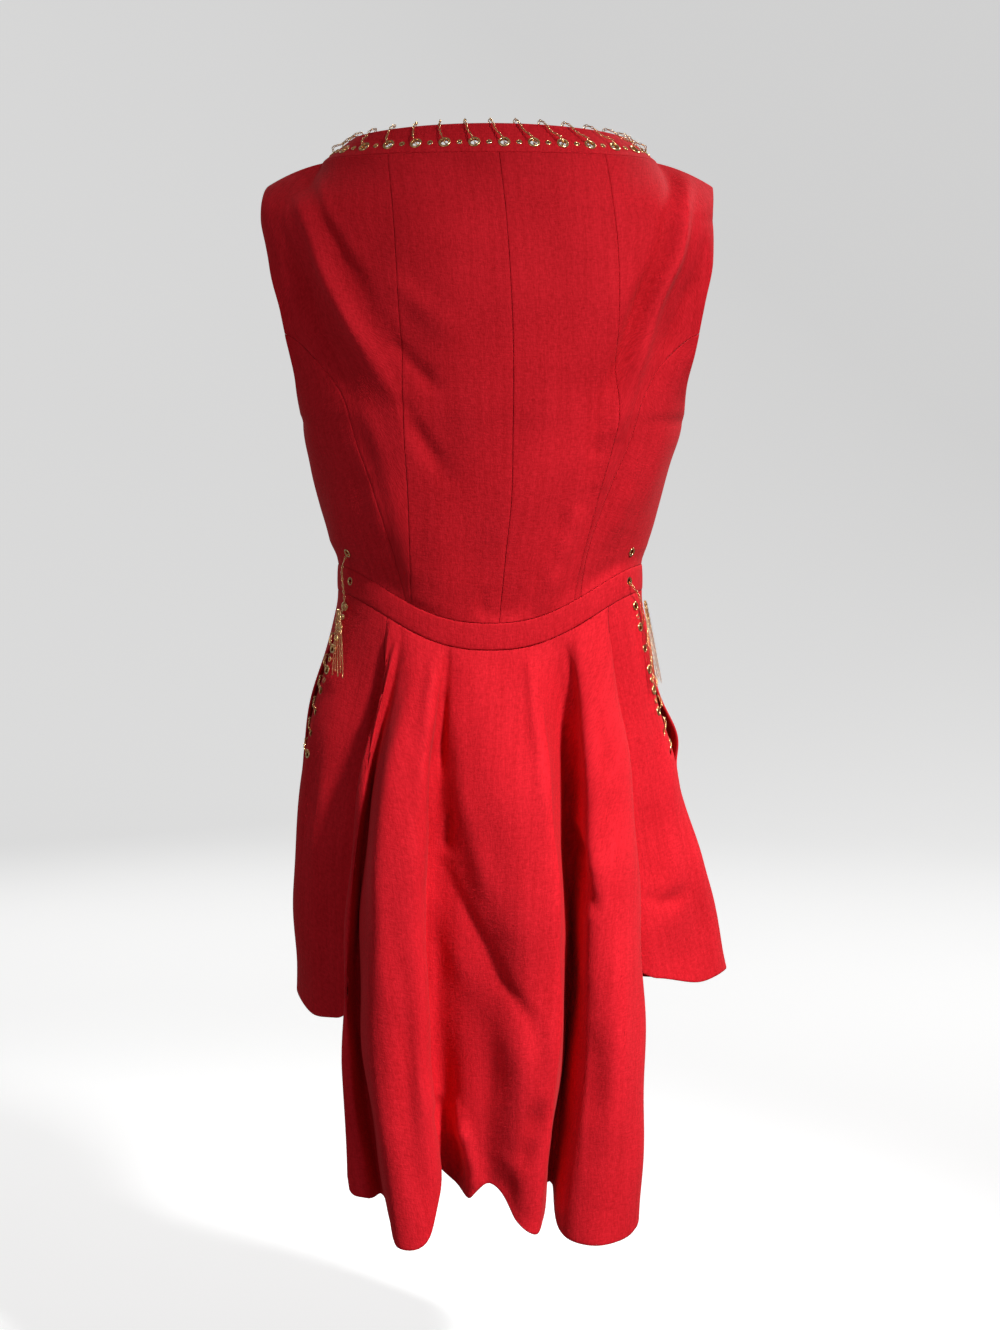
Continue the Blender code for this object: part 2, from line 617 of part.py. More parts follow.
def waist_points(place, band):
    """The skirt's top edge, exactly along the lower edge of the waistband with its mesh columns."""
    rounds = []
    for name in RIB_NAMES + RIB_NAMES[:1]:
        row = dict(zip(RIB_COLUMNS, RIBS[name]))
        facing = 1 if row["front"] else -1
        across = float(body_across(facing, row["waist"], WAIST_LOW))
        rounds.append(2 - across if row["front"] else across)
    rounds = np.array(rounds)
    rounds += 4 * np.concatenate([[0], np.cumsum(np.diff(rounds) < 0)])
    turn = np.mod(place, RIB_PLACES[-1])
    turn = np.where((turn == 0) & (np.arange(len(place)) > 0), RIB_PLACES[-1], turn)
    found = np.mod(np.interp(turn, RIB_PLACES, rounds) + 1, 4) - 1
    halves = {}
    for facing, across in ((-1, np.clip(found, -1, 1)), (1, np.clip(2 - found, -1, 1))):
        line = body_point(facing, band[facing], WAIST_LOW)
        halves[facing] = np.stack([np.interp(across, band[facing], axis) for axis in line.T], axis=-1)
    return np.where((found <= 1)[:, None], halves[-1], halves[1])


def skirt_piece(name, first, last, between, rows, band, group, finish):
    place = skirt_columns(first, last, between)
    fall = np.linspace(0, 1, rows)
    outer = skirt_point(place, fall)
    outer[0] = waist_points(place, band)
    normals = skirt_normal(place, fall)
    if name == "skirt_front":
        outer = slit_gape(outer, "right", True)
        outer = slit_gape(outer, "left", False)
    return cloth(name, outer, normals, ("top", "left", "right"), group, finish)


def slit_point(side, z, inboard, depth=0.0):
    """A point and normal by the pocket slit: inboard along the side panel, depth into the dress."""
    name = "slit_" + side
    falls = np.linspace(0, 1, RIB_STEPS)
    fall = np.interp(-z, -rib_curve(name, falls)[:, 2], falls)
    toward = -1.0 if side == "right" else 1.0
    reach = np.linspace(-SLIT_REACH, SLIT_REACH, SLIT_STEPS)
    line = skirt_point(rib_place(name) + reach * toward, np.array([fall]))[0]
    run = np.concatenate([[0], np.cumsum(np.linalg.norm(np.diff(line, axis=0), axis=1))])
    run -= run[SLIT_STEPS // 2]
    step = np.interp(inboard, run, reach) * toward
    place = np.array([rib_place(name) + step])
    point = skirt_point(place, np.array([fall]))[0, 0]
    normal = skirt_normal(place, np.array([max(fall, 0.001)]))[0, 0]
    return point - normal * depth, normal


def pocket_backing(side, group, finish):
    """The strip of pocket cloth that shows through the slit, curved behind it."""
    heights = np.linspace(SLIT_TOP - 2, SLIT_END - 4, BACKING_ROWS)
    u = np.linspace(0, 1, BACKING_COLUMNS)[:, None]
    rows, faces_out = [], []
    for z in heights:
        start, first = slit_point(side, z, BACKING_HALF, BACKING_EDGE)
        middle, centre = slit_point(side, z, 0.0, BACKING_MIDDLE)
        end, last = slit_point(side, z, -BACKING_HALF, BACKING_EDGE)
        if side == "left":
            start, end = end, start
        rows.append(start * (1 - u) * (1 - 2 * u) + middle * 4 * u * (1 - u) - end * u * (1 - 2 * u))
        faces_out.append(np.repeat(unit(first + centre + last)[None], len(u), axis=0))
    return cloth("pocket_backing_" + side, np.array(rows), np.array(faces_out), (), group, finish)


def ring_mesh(sizes, centre, normal, work):
    """An eyelet: a flat ring lying on the cloth, turned to its normal."""
    low, high = SEAT, SEAT + sizes["thick"]
    profile = ((sizes["inner"], low), (sizes["outer"], low), ((sizes["inner"] + sizes["outer"]) / 2, high))
    turn = Vector(normal.tolist()).to_track_quat("Z", "Y").to_matrix().to_4x4()
    place = Matrix.Translation(Vector((centre * MM).tolist())) @ turn
    rings = []
    for k in range(RING_SIDES):
        angle = 2 * math.pi * k / RING_SIDES
        corner = [Vector((r * math.cos(angle) * MM, r * math.sin(angle) * MM, h * MM)) for r, h in profile]
        rings.append([work.verts.new(place @ spot) for spot in corner])
    for k in range(RING_SIDES):
        here, there = rings[k], rings[(k + 1) % RING_SIDES]
        for j in range(len(profile)):
            after = (j + 1) % len(profile)
            work.faces.new((here[j], here[after], there[after], there[j]))


def rings_object(name, sizes, spots, group, finish):
    mesh = bpy.data.meshes.new(name)
    work = bmesh.new()
    for centre, normal in spots:
        ring_mesh(sizes, centre, normal, work)
    bmesh.ops.recalc_face_normals(work, faces=work.faces)
    work.to_mesh(mesh)
    work.free()
    mesh.materials.append(finish)
    made = bpy.data.objects.new(name, mesh)
    group.objects.link(made)
    return made


def punch(target, sizes, spots, cutters):
    """Cuts the eyelets' holes through a cloth piece."""
    mesh = bpy.data.meshes.new(target.name + "_holes")
    work = bmesh.new()
    for centre, normal in spots:
        turn = Vector(normal.tolist()).to_track_quat("Z", "Y").to_matrix().to_4x4()
        place = Matrix.Translation(Vector((centre * MM).tolist())) @ turn
        bmesh.ops.create_cone(work, cap_ends=True, segments=RING_SIDES, radius1=sizes["hole"] * MM,
                              radius2=sizes["hole"] * MM, depth=8 * MM, matrix=place)
    work.to_mesh(mesh)
    work.free()
    cutter = bpy.data.objects.new(target.name + "_holes", mesh)
    cutters.objects.link(cutter)
    cutter.hide_render = True
    cutter.display_type = "WIRE"
    cut = target.modifiers.new("eyelet holes", "BOOLEAN")
    cut.operation = "DIFFERENCE"
    cut.solver = "EXACT"
    cut.object = cutter


def tube(name, points, radius, closed, group, finish, resolution=0):
    """A chain's plain tube along its route."""
    curve = bpy.data.curves.new(name, "CURVE")
    curve.dimensions = "3D"
    curve.bevel_depth = radius * MM
    curve.bevel_resolution = resolution
    curve.use_fill_caps = not closed
    curve.twist_mode = "MINIMUM"
    spline = curve.splines.new("POLY")
    spline.points.add(len(points) - 1)
    for spot, place in zip(spline.points, points):
        spot.co = (place[0] * MM, place[1] * MM, place[2] * MM, 1.0)
    spline.use_cyclic_u = closed
    curve.materials.append(finish)
    made = bpy.data.objects.new(name, curve)
    group.objects.link(made)
    return made


def tube_mesh(tube_object, group):
    """The tube as a closed mesh, so that eyelets can be joined to it."""
    bpy.context.view_layer.update()
    graph = bpy.context.evaluated_depsgraph_get()
    mesh = bpy.data.meshes.new_from_object(tube_object.evaluated_get(graph))
    work = bmesh.new()
    work.from_mesh(mesh)
    bmesh.ops.remove_doubles(work, verts=work.verts, dist=0.00001)
    bmesh.ops.recalc_face_normals(work, faces=work.faces)
    work.to_mesh(mesh)
    work.free()
    name = tube_object.name
    matrix = tube_object.matrix_world.copy()
    bpy.data.objects.remove(tube_object, do_unlink=True)
    made = bpy.data.objects.new(name, mesh)
    made.matrix_world = matrix
    group.objects.link(made)
    return made


def join(target, operand, cutters):
    """Joins another mesh to the target by a Boolean union."""
    cutters.objects.link(operand)
    operand.hide_render = True
    operand.display_type = "WIRE"
    union = target.modifiers.new("join " + operand.name, "BOOLEAN")
    union.operation = "UNION"
    union.solver = "EXACT"
    union.object = operand


def neck_run():
    """Angles and eyelet counts along the neckband from the left shoulder, as many on each half."""
    angle = np.linspace(-90, 270, 1441)
    line = neckband_point(angle, np.full_like(angle, NECK_EYELET_HEIGHT))
    run = np.concatenate([[0], np.cumsum(np.linalg.norm(np.diff(line, axis=0), axis=1))])
    half = run[720]
    back_count = run / half * NECK_EYELETS / 2
    front_count = NECK_EYELETS / 2 * (1 + (run - half) / (run[-1] - half))
    return angle, np.where(angle < 90, back_count, front_count), run[-1] / NECK_EYELETS


NECK_ANGLE, NECK_COUNT, NECK_PITCH = neck_run()


def neck_spot(count, height, out):
    """A point by the neckband: eyelet steps from the left shoulder, height as a share, out of the cloth."""
    angle = np.interp(np.mod(count, NECK_EYELETS), NECK_COUNT, NECK_ANGLE)
    angle = np.array(angle)
    normal = neckband_normal(angle, np.array(min(height, 1.0)))
    return neckband_point(angle, np.array(height)) + normal * out, normal


def neck_trim(cloths, group, cutters, brass):
    spots = []
    for k in range(NECK_EYELETS):
        spots.append(neck_spot(k + 0.5, NECK_EYELET_HEIGHT, 0.0))
        rings_object(f"neck_eyelet_{k + 1:02d}", NECK_RING, [spots[-1]], group, brass)
    back = [spot for spot in spots if spot[0][1] < 0]
    front = [spot for spot in spots if spot[0][1] >= 0]
    punch(cloths["neckband_back"], NECK_RING, back, cutters)
    punch(cloths["neckband_front"], NECK_RING, front, cutters)
    route = []
    for k in range(NECK_EYELETS, 0, -1):
        for along, height, out in NECK_STITCH:
            route.append(neck_spot(k - 0.5 + along / NECK_PITCH, height, out)[0])
    tube("neck_chain", route, CHAIN_RADIUS, True, group, brass)


def hip_spots(side):
    """Places and normals of the hip eyelets: bodice, waistband, then down the pocket edge."""
    sign = -1.0 if side == "left" else 1.0
    spots = {}
    for name, (x, drop) in WAIST_EYELETS.items():
        across = body_across(-1, sign * x, drop)
        spots[name] = (body_point(-1, across, drop), body_normal(-1, across, drop))
    edge = []
    for k in range(HIP_EYELETS):
        edge.append(slit_point(side, HIP_EYELET_FIRST - k * HIP_EYELET_PITCH, HIP_EYELET_INBOARD))
    spots["edge"] = edge
    return spots


def hip_route(side, spots):
    """Chain from the waist eyelet down and round the pocket edge, through each eyelet."""
    start = spots["bodice"] if side == "left" else spots["band"]
    route = [start[0] + start[1] * out + np.array([0, 0, up]) for out, up in CHAIN_START]
    for z, inboard, out in HANG[side]:
        point, normal = slit_point(side, z, inboard)
        route.append(point + normal * out)
    for k in range(1, HIP_EYELETS):
        z = HIP_EYELET_FIRST - k * HIP_EYELET_PITCH
        stitch = EDGE_STITCH if k < HIP_EYELETS - 1 else EDGE_STITCH[:LAST_STITCH]
        for along, inboard, out in stitch:
            point, normal = slit_point(side, z + along, inboard)
            route.append(point + normal * out)
    return route


def hip_trim(side, cloths, group, cutters, brass):
    spots = hip_spots(side)
    route = hip_route(side, spots)
    chain = tube_mesh(tube("hip_chain_" + side, route, HIP_CHAIN_RADIUS, False, group, brass), group)
    worn = spots["edge"][1:]
    worn = worn + [spots["bodice"] if side == "left" else spots["band"]]
    rings = rings_object("hip_rings_" + side, HIP_RING, worn, cutters, brass)
    cutters.objects.unlink(rings)
    join(chain, rings, cutters)
    free = spots["band"] if side == "left" else spots["bodice"]
    rings_object("waist_eyelet_" + side, HIP_RING, [free], group, brass)
    rings_object("hip_eyelet_" + side, HIP_RING, spots["edge"][:1], group, brass)
    punch(cloths["back_underarm_" + side], HIP_RING, [spots["bodice"]], cutters)
    punch(cloths["skirt_side_" + side], HIP_RING, spots["edge"], cutters)


def tassel(side, group, cutters, brass):
    """A bunch of chain ends: a small head with its strands' roots joined into it."""
    form = dict(zip(TASSEL_COLUMNS, TASSELS[side]))
    point, normal = slit_point(side, form["head_z"], form["head_inboard"])
    beside = slit_point(side, form["head_z"], form["head_inboard"] + 3.0)[0]
    across = unit((beside - point) * np.array([1.0, 1.0, 0.0]))
    head = point + normal * form["head_out"]
    mesh = bpy.data.meshes.new("hip_tassel_" + side)
    work = bmesh.new()
    place = Matrix.Translation(Vector((head * MM).tolist()))
    turn = Matrix.Rotation(math.atan2(across[1], across[0]), 4, "Z")
    spread = Matrix.Diagonal((TASSEL_HEAD["wide"], TASSEL_HEAD["deep"], 1.0, 1.0))
    bmesh.ops.create_cone(work, cap_ends=True, segments=RING_SIDES, radius1=TASSEL_HEAD["radius"] * MM,
                          radius2=TASSEL_HEAD["top"] * MM, depth=TASSEL_HEAD["height"] * MM,
                          matrix=place @ turn @ spread)
    work.to_mesh(mesh)
    work.free()
    mesh.materials.append(brass)
    made = bpy.data.objects.new("hip_tassel_" + side, mesh)
    group.objects.link(made)
    strands = bmesh.new()
    for k in range(TASSEL_STRANDS):
        offset = (k - (TASSEL_STRANDS - 1) / 2) * TASSEL_PITCH
        top = head + across * offset
        foot, foot_normal = slit_point(side, form["end_z"], form["end_inboard"] + offset * 1.1)
        end = foot + foot_normal * form["end_out"]
        end = top + (end - top) * (1.0 if k % 2 == 0 else SHORT_STRAND)
        rings = []
        for spot in (top, end):
            corners = (np.array([a, b, 0.0]) * STRAND_RADIUS for a, b in ((1, 0), (0, 1), (-1, 0), (0, -1)))
            rings.append([strands.verts.new(Vector(((spot + corner) * MM).tolist())) for corner in corners])
        strands.faces.new(rings[0])
        strands.faces.new(rings[1][::-1])
        for j in range(4):
            after = (j + 1) % 4
            strands.faces.new((rings[0][j], rings[1][j], rings[1][after], rings[0][after]))
    bmesh.ops.recalc_face_normals(strands, faces=strands.faces)
    strand_mesh = bpy.data.meshes.new("strands_" + side)
    strands.to_mesh(strand_mesh)
    strands.free()
    join(made, bpy.data.objects.new("strands_" + side, strand_mesh), cutters)


def main():
    clear_scene()
    group = collection("mini_dress")
    cutters = collection("cutters")
    red = material("red cloth", RED, 0.85, 0.0)
    brass = material("brass", BRASS, 0.28, 1.0)
    cloths = {}
    tops, bottoms = [], []
    whole = YOKE_DROPS + LOWER_DROPS
    for name, left, right, drops in (
            ("back_centre_left", "princess_left", "centre", whole),
            ("back_centre_right", "centre", "princess_right", whole),
            ("back_side_left", "side_left", "princess_left", whole),
            ("back_side_right", "princess_right", "side_right", whole),
            ("back_underarm_left", -1, "side_left", LOWER_DROPS[1:]),
            ("back_underarm_right", "side_right", 1, LOWER_DROPS[1:])):
        cloths[name], top, bottom = back_panel(name, left, right, drops, group, red)
        if drops[0] == 0:
            tops.append(top)
        bottoms.append(bottom)
    cloths["front_bodice"], front_top, front_bottom = front_bodice(group, red)
    back_top, back_bottom = distinct(tops, 1e-4), distinct(bottoms, 0.012)
    band = {-1: back_bottom, 1: np.sort(front_bottom)}
    cloths["waistband_back"] = waistband("waistband_back", -1, band[-1], group, red)
    cloths["waistband_front"] = waistband("waistband_front", 1, band[1], group, red)
    cloths["neckband_back"] = neckband("neckband_back", -1, back_top, group, red)
    cloths["neckband_front"] = neckband("neckband_front", 1, np.sort(front_top), group, red)
    for name, first, last, between, rows in (
            ("skirt_back", "tuck_left", "tuck_right", COLUMNS_BETWEEN, ROWS_LONG),
            ("skirt_side_right", "tuck_right", "slit_right", COLUMNS_WIDE, ROWS_SHORT),
            ("skirt_front", "slit_right", "slit_left", COLUMNS_WIDE, ROWS_SHORT),
            ("skirt_side_left", "slit_left", "tuck_left", COLUMNS_WIDE, ROWS_SHORT)):
        cloths[name] = skirt_piece(name, first, last, between, rows, band, group, red)
    neck_trim(cloths, group, cutters, brass)
    for side in ("left", "right"):
        pocket_backing(side, group, red)
        hip_trim(side, cloths, group, cutters, brass)
        tassel(side, group, cutters, brass)
    punch(cloths["waistband_back"], HIP_RING, [hip_spots(side)["band"] for side in ("left", "right")], cutters)


main()
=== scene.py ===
"""Mini dress in red crepe: sleeveless, panelled back, dipped waistband, long pleated back skirt.

The back of the dress faces -Y, the wearer's right is +X and up is +Z. Lengths are millimetres in
the tables and the surface functions, and metres in the finished meshes.
"""
import bpy
import math
import numpy as np
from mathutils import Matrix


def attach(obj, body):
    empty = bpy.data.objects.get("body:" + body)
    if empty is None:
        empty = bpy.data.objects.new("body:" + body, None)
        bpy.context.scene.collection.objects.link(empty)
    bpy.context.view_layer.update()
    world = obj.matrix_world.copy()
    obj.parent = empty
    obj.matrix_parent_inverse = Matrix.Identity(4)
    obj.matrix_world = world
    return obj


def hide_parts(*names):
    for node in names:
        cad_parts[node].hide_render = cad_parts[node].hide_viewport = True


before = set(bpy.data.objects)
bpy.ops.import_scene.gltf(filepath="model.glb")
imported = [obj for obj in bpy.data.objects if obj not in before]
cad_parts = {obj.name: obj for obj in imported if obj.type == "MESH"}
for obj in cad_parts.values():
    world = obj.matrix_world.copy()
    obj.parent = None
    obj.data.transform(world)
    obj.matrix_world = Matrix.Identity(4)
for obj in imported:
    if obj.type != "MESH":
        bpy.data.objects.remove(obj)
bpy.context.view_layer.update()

MM = 0.001
WALL = 1.5
ROUND = 0.25          # the rims of the cloth are rounded by this much
EDGES = ("top", "bottom", "left", "right")
# Depth and width of the roll beside a seam or turned edge, then the extra cloth and how far it reaches
EDGE_KINDS = {"seam": (0.22, 0.9, 0.7, 11), "edge": (0.35, 1.0, 0.6, 26)}
EXTRA_STEP = 0.8      # the extra cloth ends over this distance, and is never thicker than this

# Camera at the photograph's place
FOCAL_PIXELS = 2098.0
LONG_SIDE = 1330.0
SENSOR = 36.0
CAMERA_PLACE = (0.0086, -1.80, -0.224)
CAMERA_TILT = 6.4

# The bodice and waistband as sections round the body
BODY_COLUMNS = ("drop", "mid", "edge", "half", "back", "back_edge", "front", "front_edge", "lean")
BODY_ROWS = (
    (45, -45, -52, 188.0, 98, 26, 104, 26, -2.0),
    (85, -85, -88, 183.5, 107, 42, 112, 44, 0.5),
    (125, -125, -125, 175.0, 110, 50, 119, 54, 2.0),
    (165, -165, -163, 168.5, 110, 48, 124, 52, 2.0),
    (190, -190, -188, 164.5, 109, 38, 125, 41, 1.5),
    (207, -207, -206, 162.5, 108, 22, 125, 23, 1.5),
    (213, -213, -213, 162.0, 107.5, 13, 124.5, 13, 1.5),
    (217, -217, -217, 161.5, 107, 0, 124, 0, 1.5),
    (260, -260, -255, 153.0, 103, 0, 117, 0, 0.5),
    (305, -305, -292, 144.0, 97, 0, 107, 0, -1.5),
    (345, -345, -318, 136.5, 91, 0, 97, 0, -2.0),
    (382, -382, -338, 130.0, 86, 0, 90, 0, 0.0),
    (404, -404, -360, 130.5, 87, 0, 91, 0, 0.0),
)
UNDERARM = 217
DIP_POWER = 2.4
ARMHOLE_TOP = 9.0
ARMHOLE_ROUND = 45.0
SECTION_POWER = 2.15
EDGE_POWER = 2.5
STATIONS = 65
# Trial points that a place is read from: across the body, along a rib, beside the slit, round the neck
BODY_TRIALS = 161
RIB_TRIALS = 60
SLIT_TRIALS = 141
NECK_TRIALS = 1441
NECK_SEAM = dict(half=140.0, back=86.0, front=98.0, side_z=-1.0, back_z=-3.0, front_z=-26.0)
NECK_EDGE = dict(half=114.5, back=68.0, front=80.0, side_z=18.0, back_z=22.5, front_z=-2.0)
NECK_SHARE = 0.78
SHOULDER_END = (188.0, 0.0, -21.0)
SHOULDER_RISE = 2.5

# Panel seams of the back: the sideways place of the seam at each drop
BACK_SEAMS = {
    "centre": ((0, 8), (59, 14), (103, 17), (154, 19), (231, 19), (277, 18), (328, 13), (382, 8)),
    "princess_left": ((0, -82), (43, -78), (102, -74), (199, -70), (285, -66), (382, -64)),
    "princess_right": ((0, 94), (58, 102), (146, 104), (214, 104), (289, 88), (345, 76), (382, 70)),
    "side_left": ((146, -168), (152, -160), (168, -143), (190, -125), (241, -107), (285, -92), (330, -80),
                  (382, -69)),
    "side_right": ((146, 172), (152, 164), (168, 147), (196, 127), (239, 113), (278, 98), (330, 82),
                   (382, 75)),
}
ARMHOLE_JOIN = 147.0
UNDERARM_TOP = 150.0
WAIST_TOP = 382.0
WAIST_LOW = 404.0
BAND_RUN = 330.0      # nominal lengths that the sample places are counted along
NECK_RUN = 300.0
NECK_RISE = 31.0
FRONT_RUN = 560.0
SKIRT_RUN = {"skirt_back": 480.0, "skirt_front": 350.0, "skirt_side_left": 350.0, "skirt_side_right": 350.0}

# The skirt as ribs from the waistband to the hem, in order round the dress
HIP_Z = -506.0
LOW_Z_LONG = -700.0
LOW_Z_SHORT = -620.0
LONG_HEM = -745.0
RIB_COLUMNS = ("waist", "front", "hip_x", "hip_y", "low_x", "low_y", "hem_x", "hem_y", "hem_z")
RIBS = {
    "tuck_left": (-85, 0, -98, -73, -110, -77, -111, -78, -719),
    "fold1_edge": (-80, 0, -106, -98, -121, -118, -116, -124, -849),
    "fold1_face": (-76, 0, -101, -104, -117, -123, -102, -129, -854),
    "groove1": (-71, 0, -95, -91, -109, -103, -90, -114, -856),
    "fold2_left": (-64, 0, -91, -114, -103, -141, -81, -155, -863),
    "fold2_face": (-54, 0, -82, -134, -92, -163, -73, -178, -877),
    "fold2_right": (-42, 0, -55, -138, -59, -168, -47, -177, -868),
    "fold2_edge": (-36, 0, -47, -127, -50, -155, -37, -160, -828),
    "groove2": (-32, 0, -49, -111, -54, -132, -43, -138, -822),
    "centre_left": (-27, 0, -37, -112, -41, -128, -31, -134, -837),
    "centre_lobe": (-18, 0, -21, -124, -21, -141, -18, -155, -845),
    "centre_face": (0, 0, 0, -134, 2, -151, 0, -156, -832),
    "centre_right": (21, 0, 26, -138, 30, -169, 20, -172, -857),
    "fold3_edge": (36, 0, 48, -135, 56, -165, 38, -170, -869),
    "fold3_back": (42, 0, 51, -122, 59, -150, 43, -156, -862),
    "groove3": (55, 0, 63, -88, 65, -104, 50, -114, -846),
    "fold4_left": (67, 0, 73, -111, 73, -143, 57, -151, -872),
    "fold4_shoulder": (73, 0, 78, -130, 80, -160, 68, -166, -877),
    "fold4_face": (82, 0, 94, -131, 101, -161, 92, -169, -879),
    "fold4_right": (90, 0, 110, -115, 121, -143, 119, -149, -875),
    "fold4_edge": (95, 0, 116, -100, 127, -122, 124, -131, -856),
    "tuck_right": (99, 0, 103, -73, 108, -78, 110, -80, -684),
    "side_right_back": (106, 0, 124, -65, 134, -70, 142, -68, -685),
    "side_right_mid": (115, 0, 143, -48, 165, -48, 181, -42, -695),
    "slit_right": (123, 0, 156, -27, 190, -22, 207, -10, -692),
    "front_right_side": (127, 1, 150, 30, 182, 42, 196, 52, -704),
    "front_right": (92, 1, 122, 82, 146, 100, 158, 110, -730),
    "front_right_mid": (48, 1, 68, 116, 84, 136, 92, 148, -734),
    "front_middle": (0, 1, 0, 123, -2, 138, -3, 146, -733),
    "front_left_mid": (-48, 1, -66, 115, -80, 132, -87, 142, -736),
    "front_left": (-92, 1, -116, 80, -130, 90, -134, 98, -738),
    "front_left_side": (-127, 1, -150, 28, -163, 34, -164, 38, -722),
    "slit_left": (-123, 0, -159, -28, -169, -26, -168, -16, -712),
    "side_left_mid": (-112, 0, -142, -50, -153, -50, -152, -46, -722),
    "side_left_back": (-98, 0, -119, -64, -132, -65, -131, -62, -721),
}
RIB_NAMES = list(RIBS)

# Pocket slits
SLIT_TOP = -367.0
SLIT_END = -514.0
SLIT_EASE = 14.0
GAPE_OUT = {"left": 4.5, "right": 8.0}
GAPE_PEAK = {"left": 0.55, "right": 0.78}
GAPE_FORWARD = 6.5
GAPE_COLUMNS = 3.5    # the gape fades out over so many of the coarse columns
SLIT_REACH = 7.0
BACKING_EDGE = 2.0
BACKING_MIDDLE = 6.1
BACKING_HALF = 24.0
BACKING_ROWS = 40
BACKING_COLUMNS = 17

# Eyelets and chains
NECK_EYELETS = 28
NECK_EYELET_HEIGHT = 0.34
LARGE_RING = dict(inner=3.1, outer=5.15, hole=3.7)
HIP_RING = dict(inner=2.4, outer=4.0, hole=3.0)
SMALL_RING = dict(inner=1.35, outer=2.5, hole=1.75)
HIP_EYELETS = 8
HIP_EYELET_FIRST = -371.0
HIP_EYELET_PITCH = 18.0
HIP_EYELET_INBOARD = 7.0
WAIST_EYELETS = {"bodice": (119.0, 357.0), "band": (117.0, 393.0)}
# One stitch of the neck chain: along the edge, height as a share of the band, out from the cloth
NECK_STITCH = ((0.0, 0.34, 0.0), (-1.6, 0.40, 3.7), (-6.6, 0.68, 2.4), (-10.0, 0.98, 2.3),
               (-11.9, 1.14, -0.75), (-13.8, 0.97, -3.9), (-23.4, 0.38, -4.0))
# Free stretch of the hip chain: height, inboard of the pocket edge, out from the cloth
HANG = {
    "left": ((-372.0, 12.5, 4.6), (-381.0, 9.0, 3.4)),
    "right": ((-364.0, 5.0, 4.2), (-377.0, 4.5, 3.4)),
}
# One stitch round the pocket edge: down from the eyelet, inboard of the edge, out from the cloth
EDGE_STITCH = ((4.5, 5.5, 3.2), (1.7, 7.0, 1.1), (1.3, 7.0, -3.0), (-5.0, 1.2, -3.0),
               (-6.2, -2.4, -2.8), (-7.4, -2.4, 1.2), (-8.6, 1.2, 2.0))
TASSEL_COLUMNS = ("head_z", "head_inboard", "head_out", "end_z", "end_inboard", "end_out")
TASSELS = {
    "left": (-376.0, 11.5, 7.1, -425.0, 27.0, 4.4),
    "right": (-371.0, 4.6, 7.6, -438.0, 8.6, 6.0),
}
TASSEL_STRANDS = 5
TASSEL_PITCH = 2.1
TASSEL_CLOSE = 0.85   # the links hang closer together than the solid's strands
LINK = dict(long=1.7, wide=1.2, wire=0.36, turns=9, sides=4)
TASSEL_LINK = dict(long=1.35, wide=0.8, wire=0.25, turns=9, sides=4)

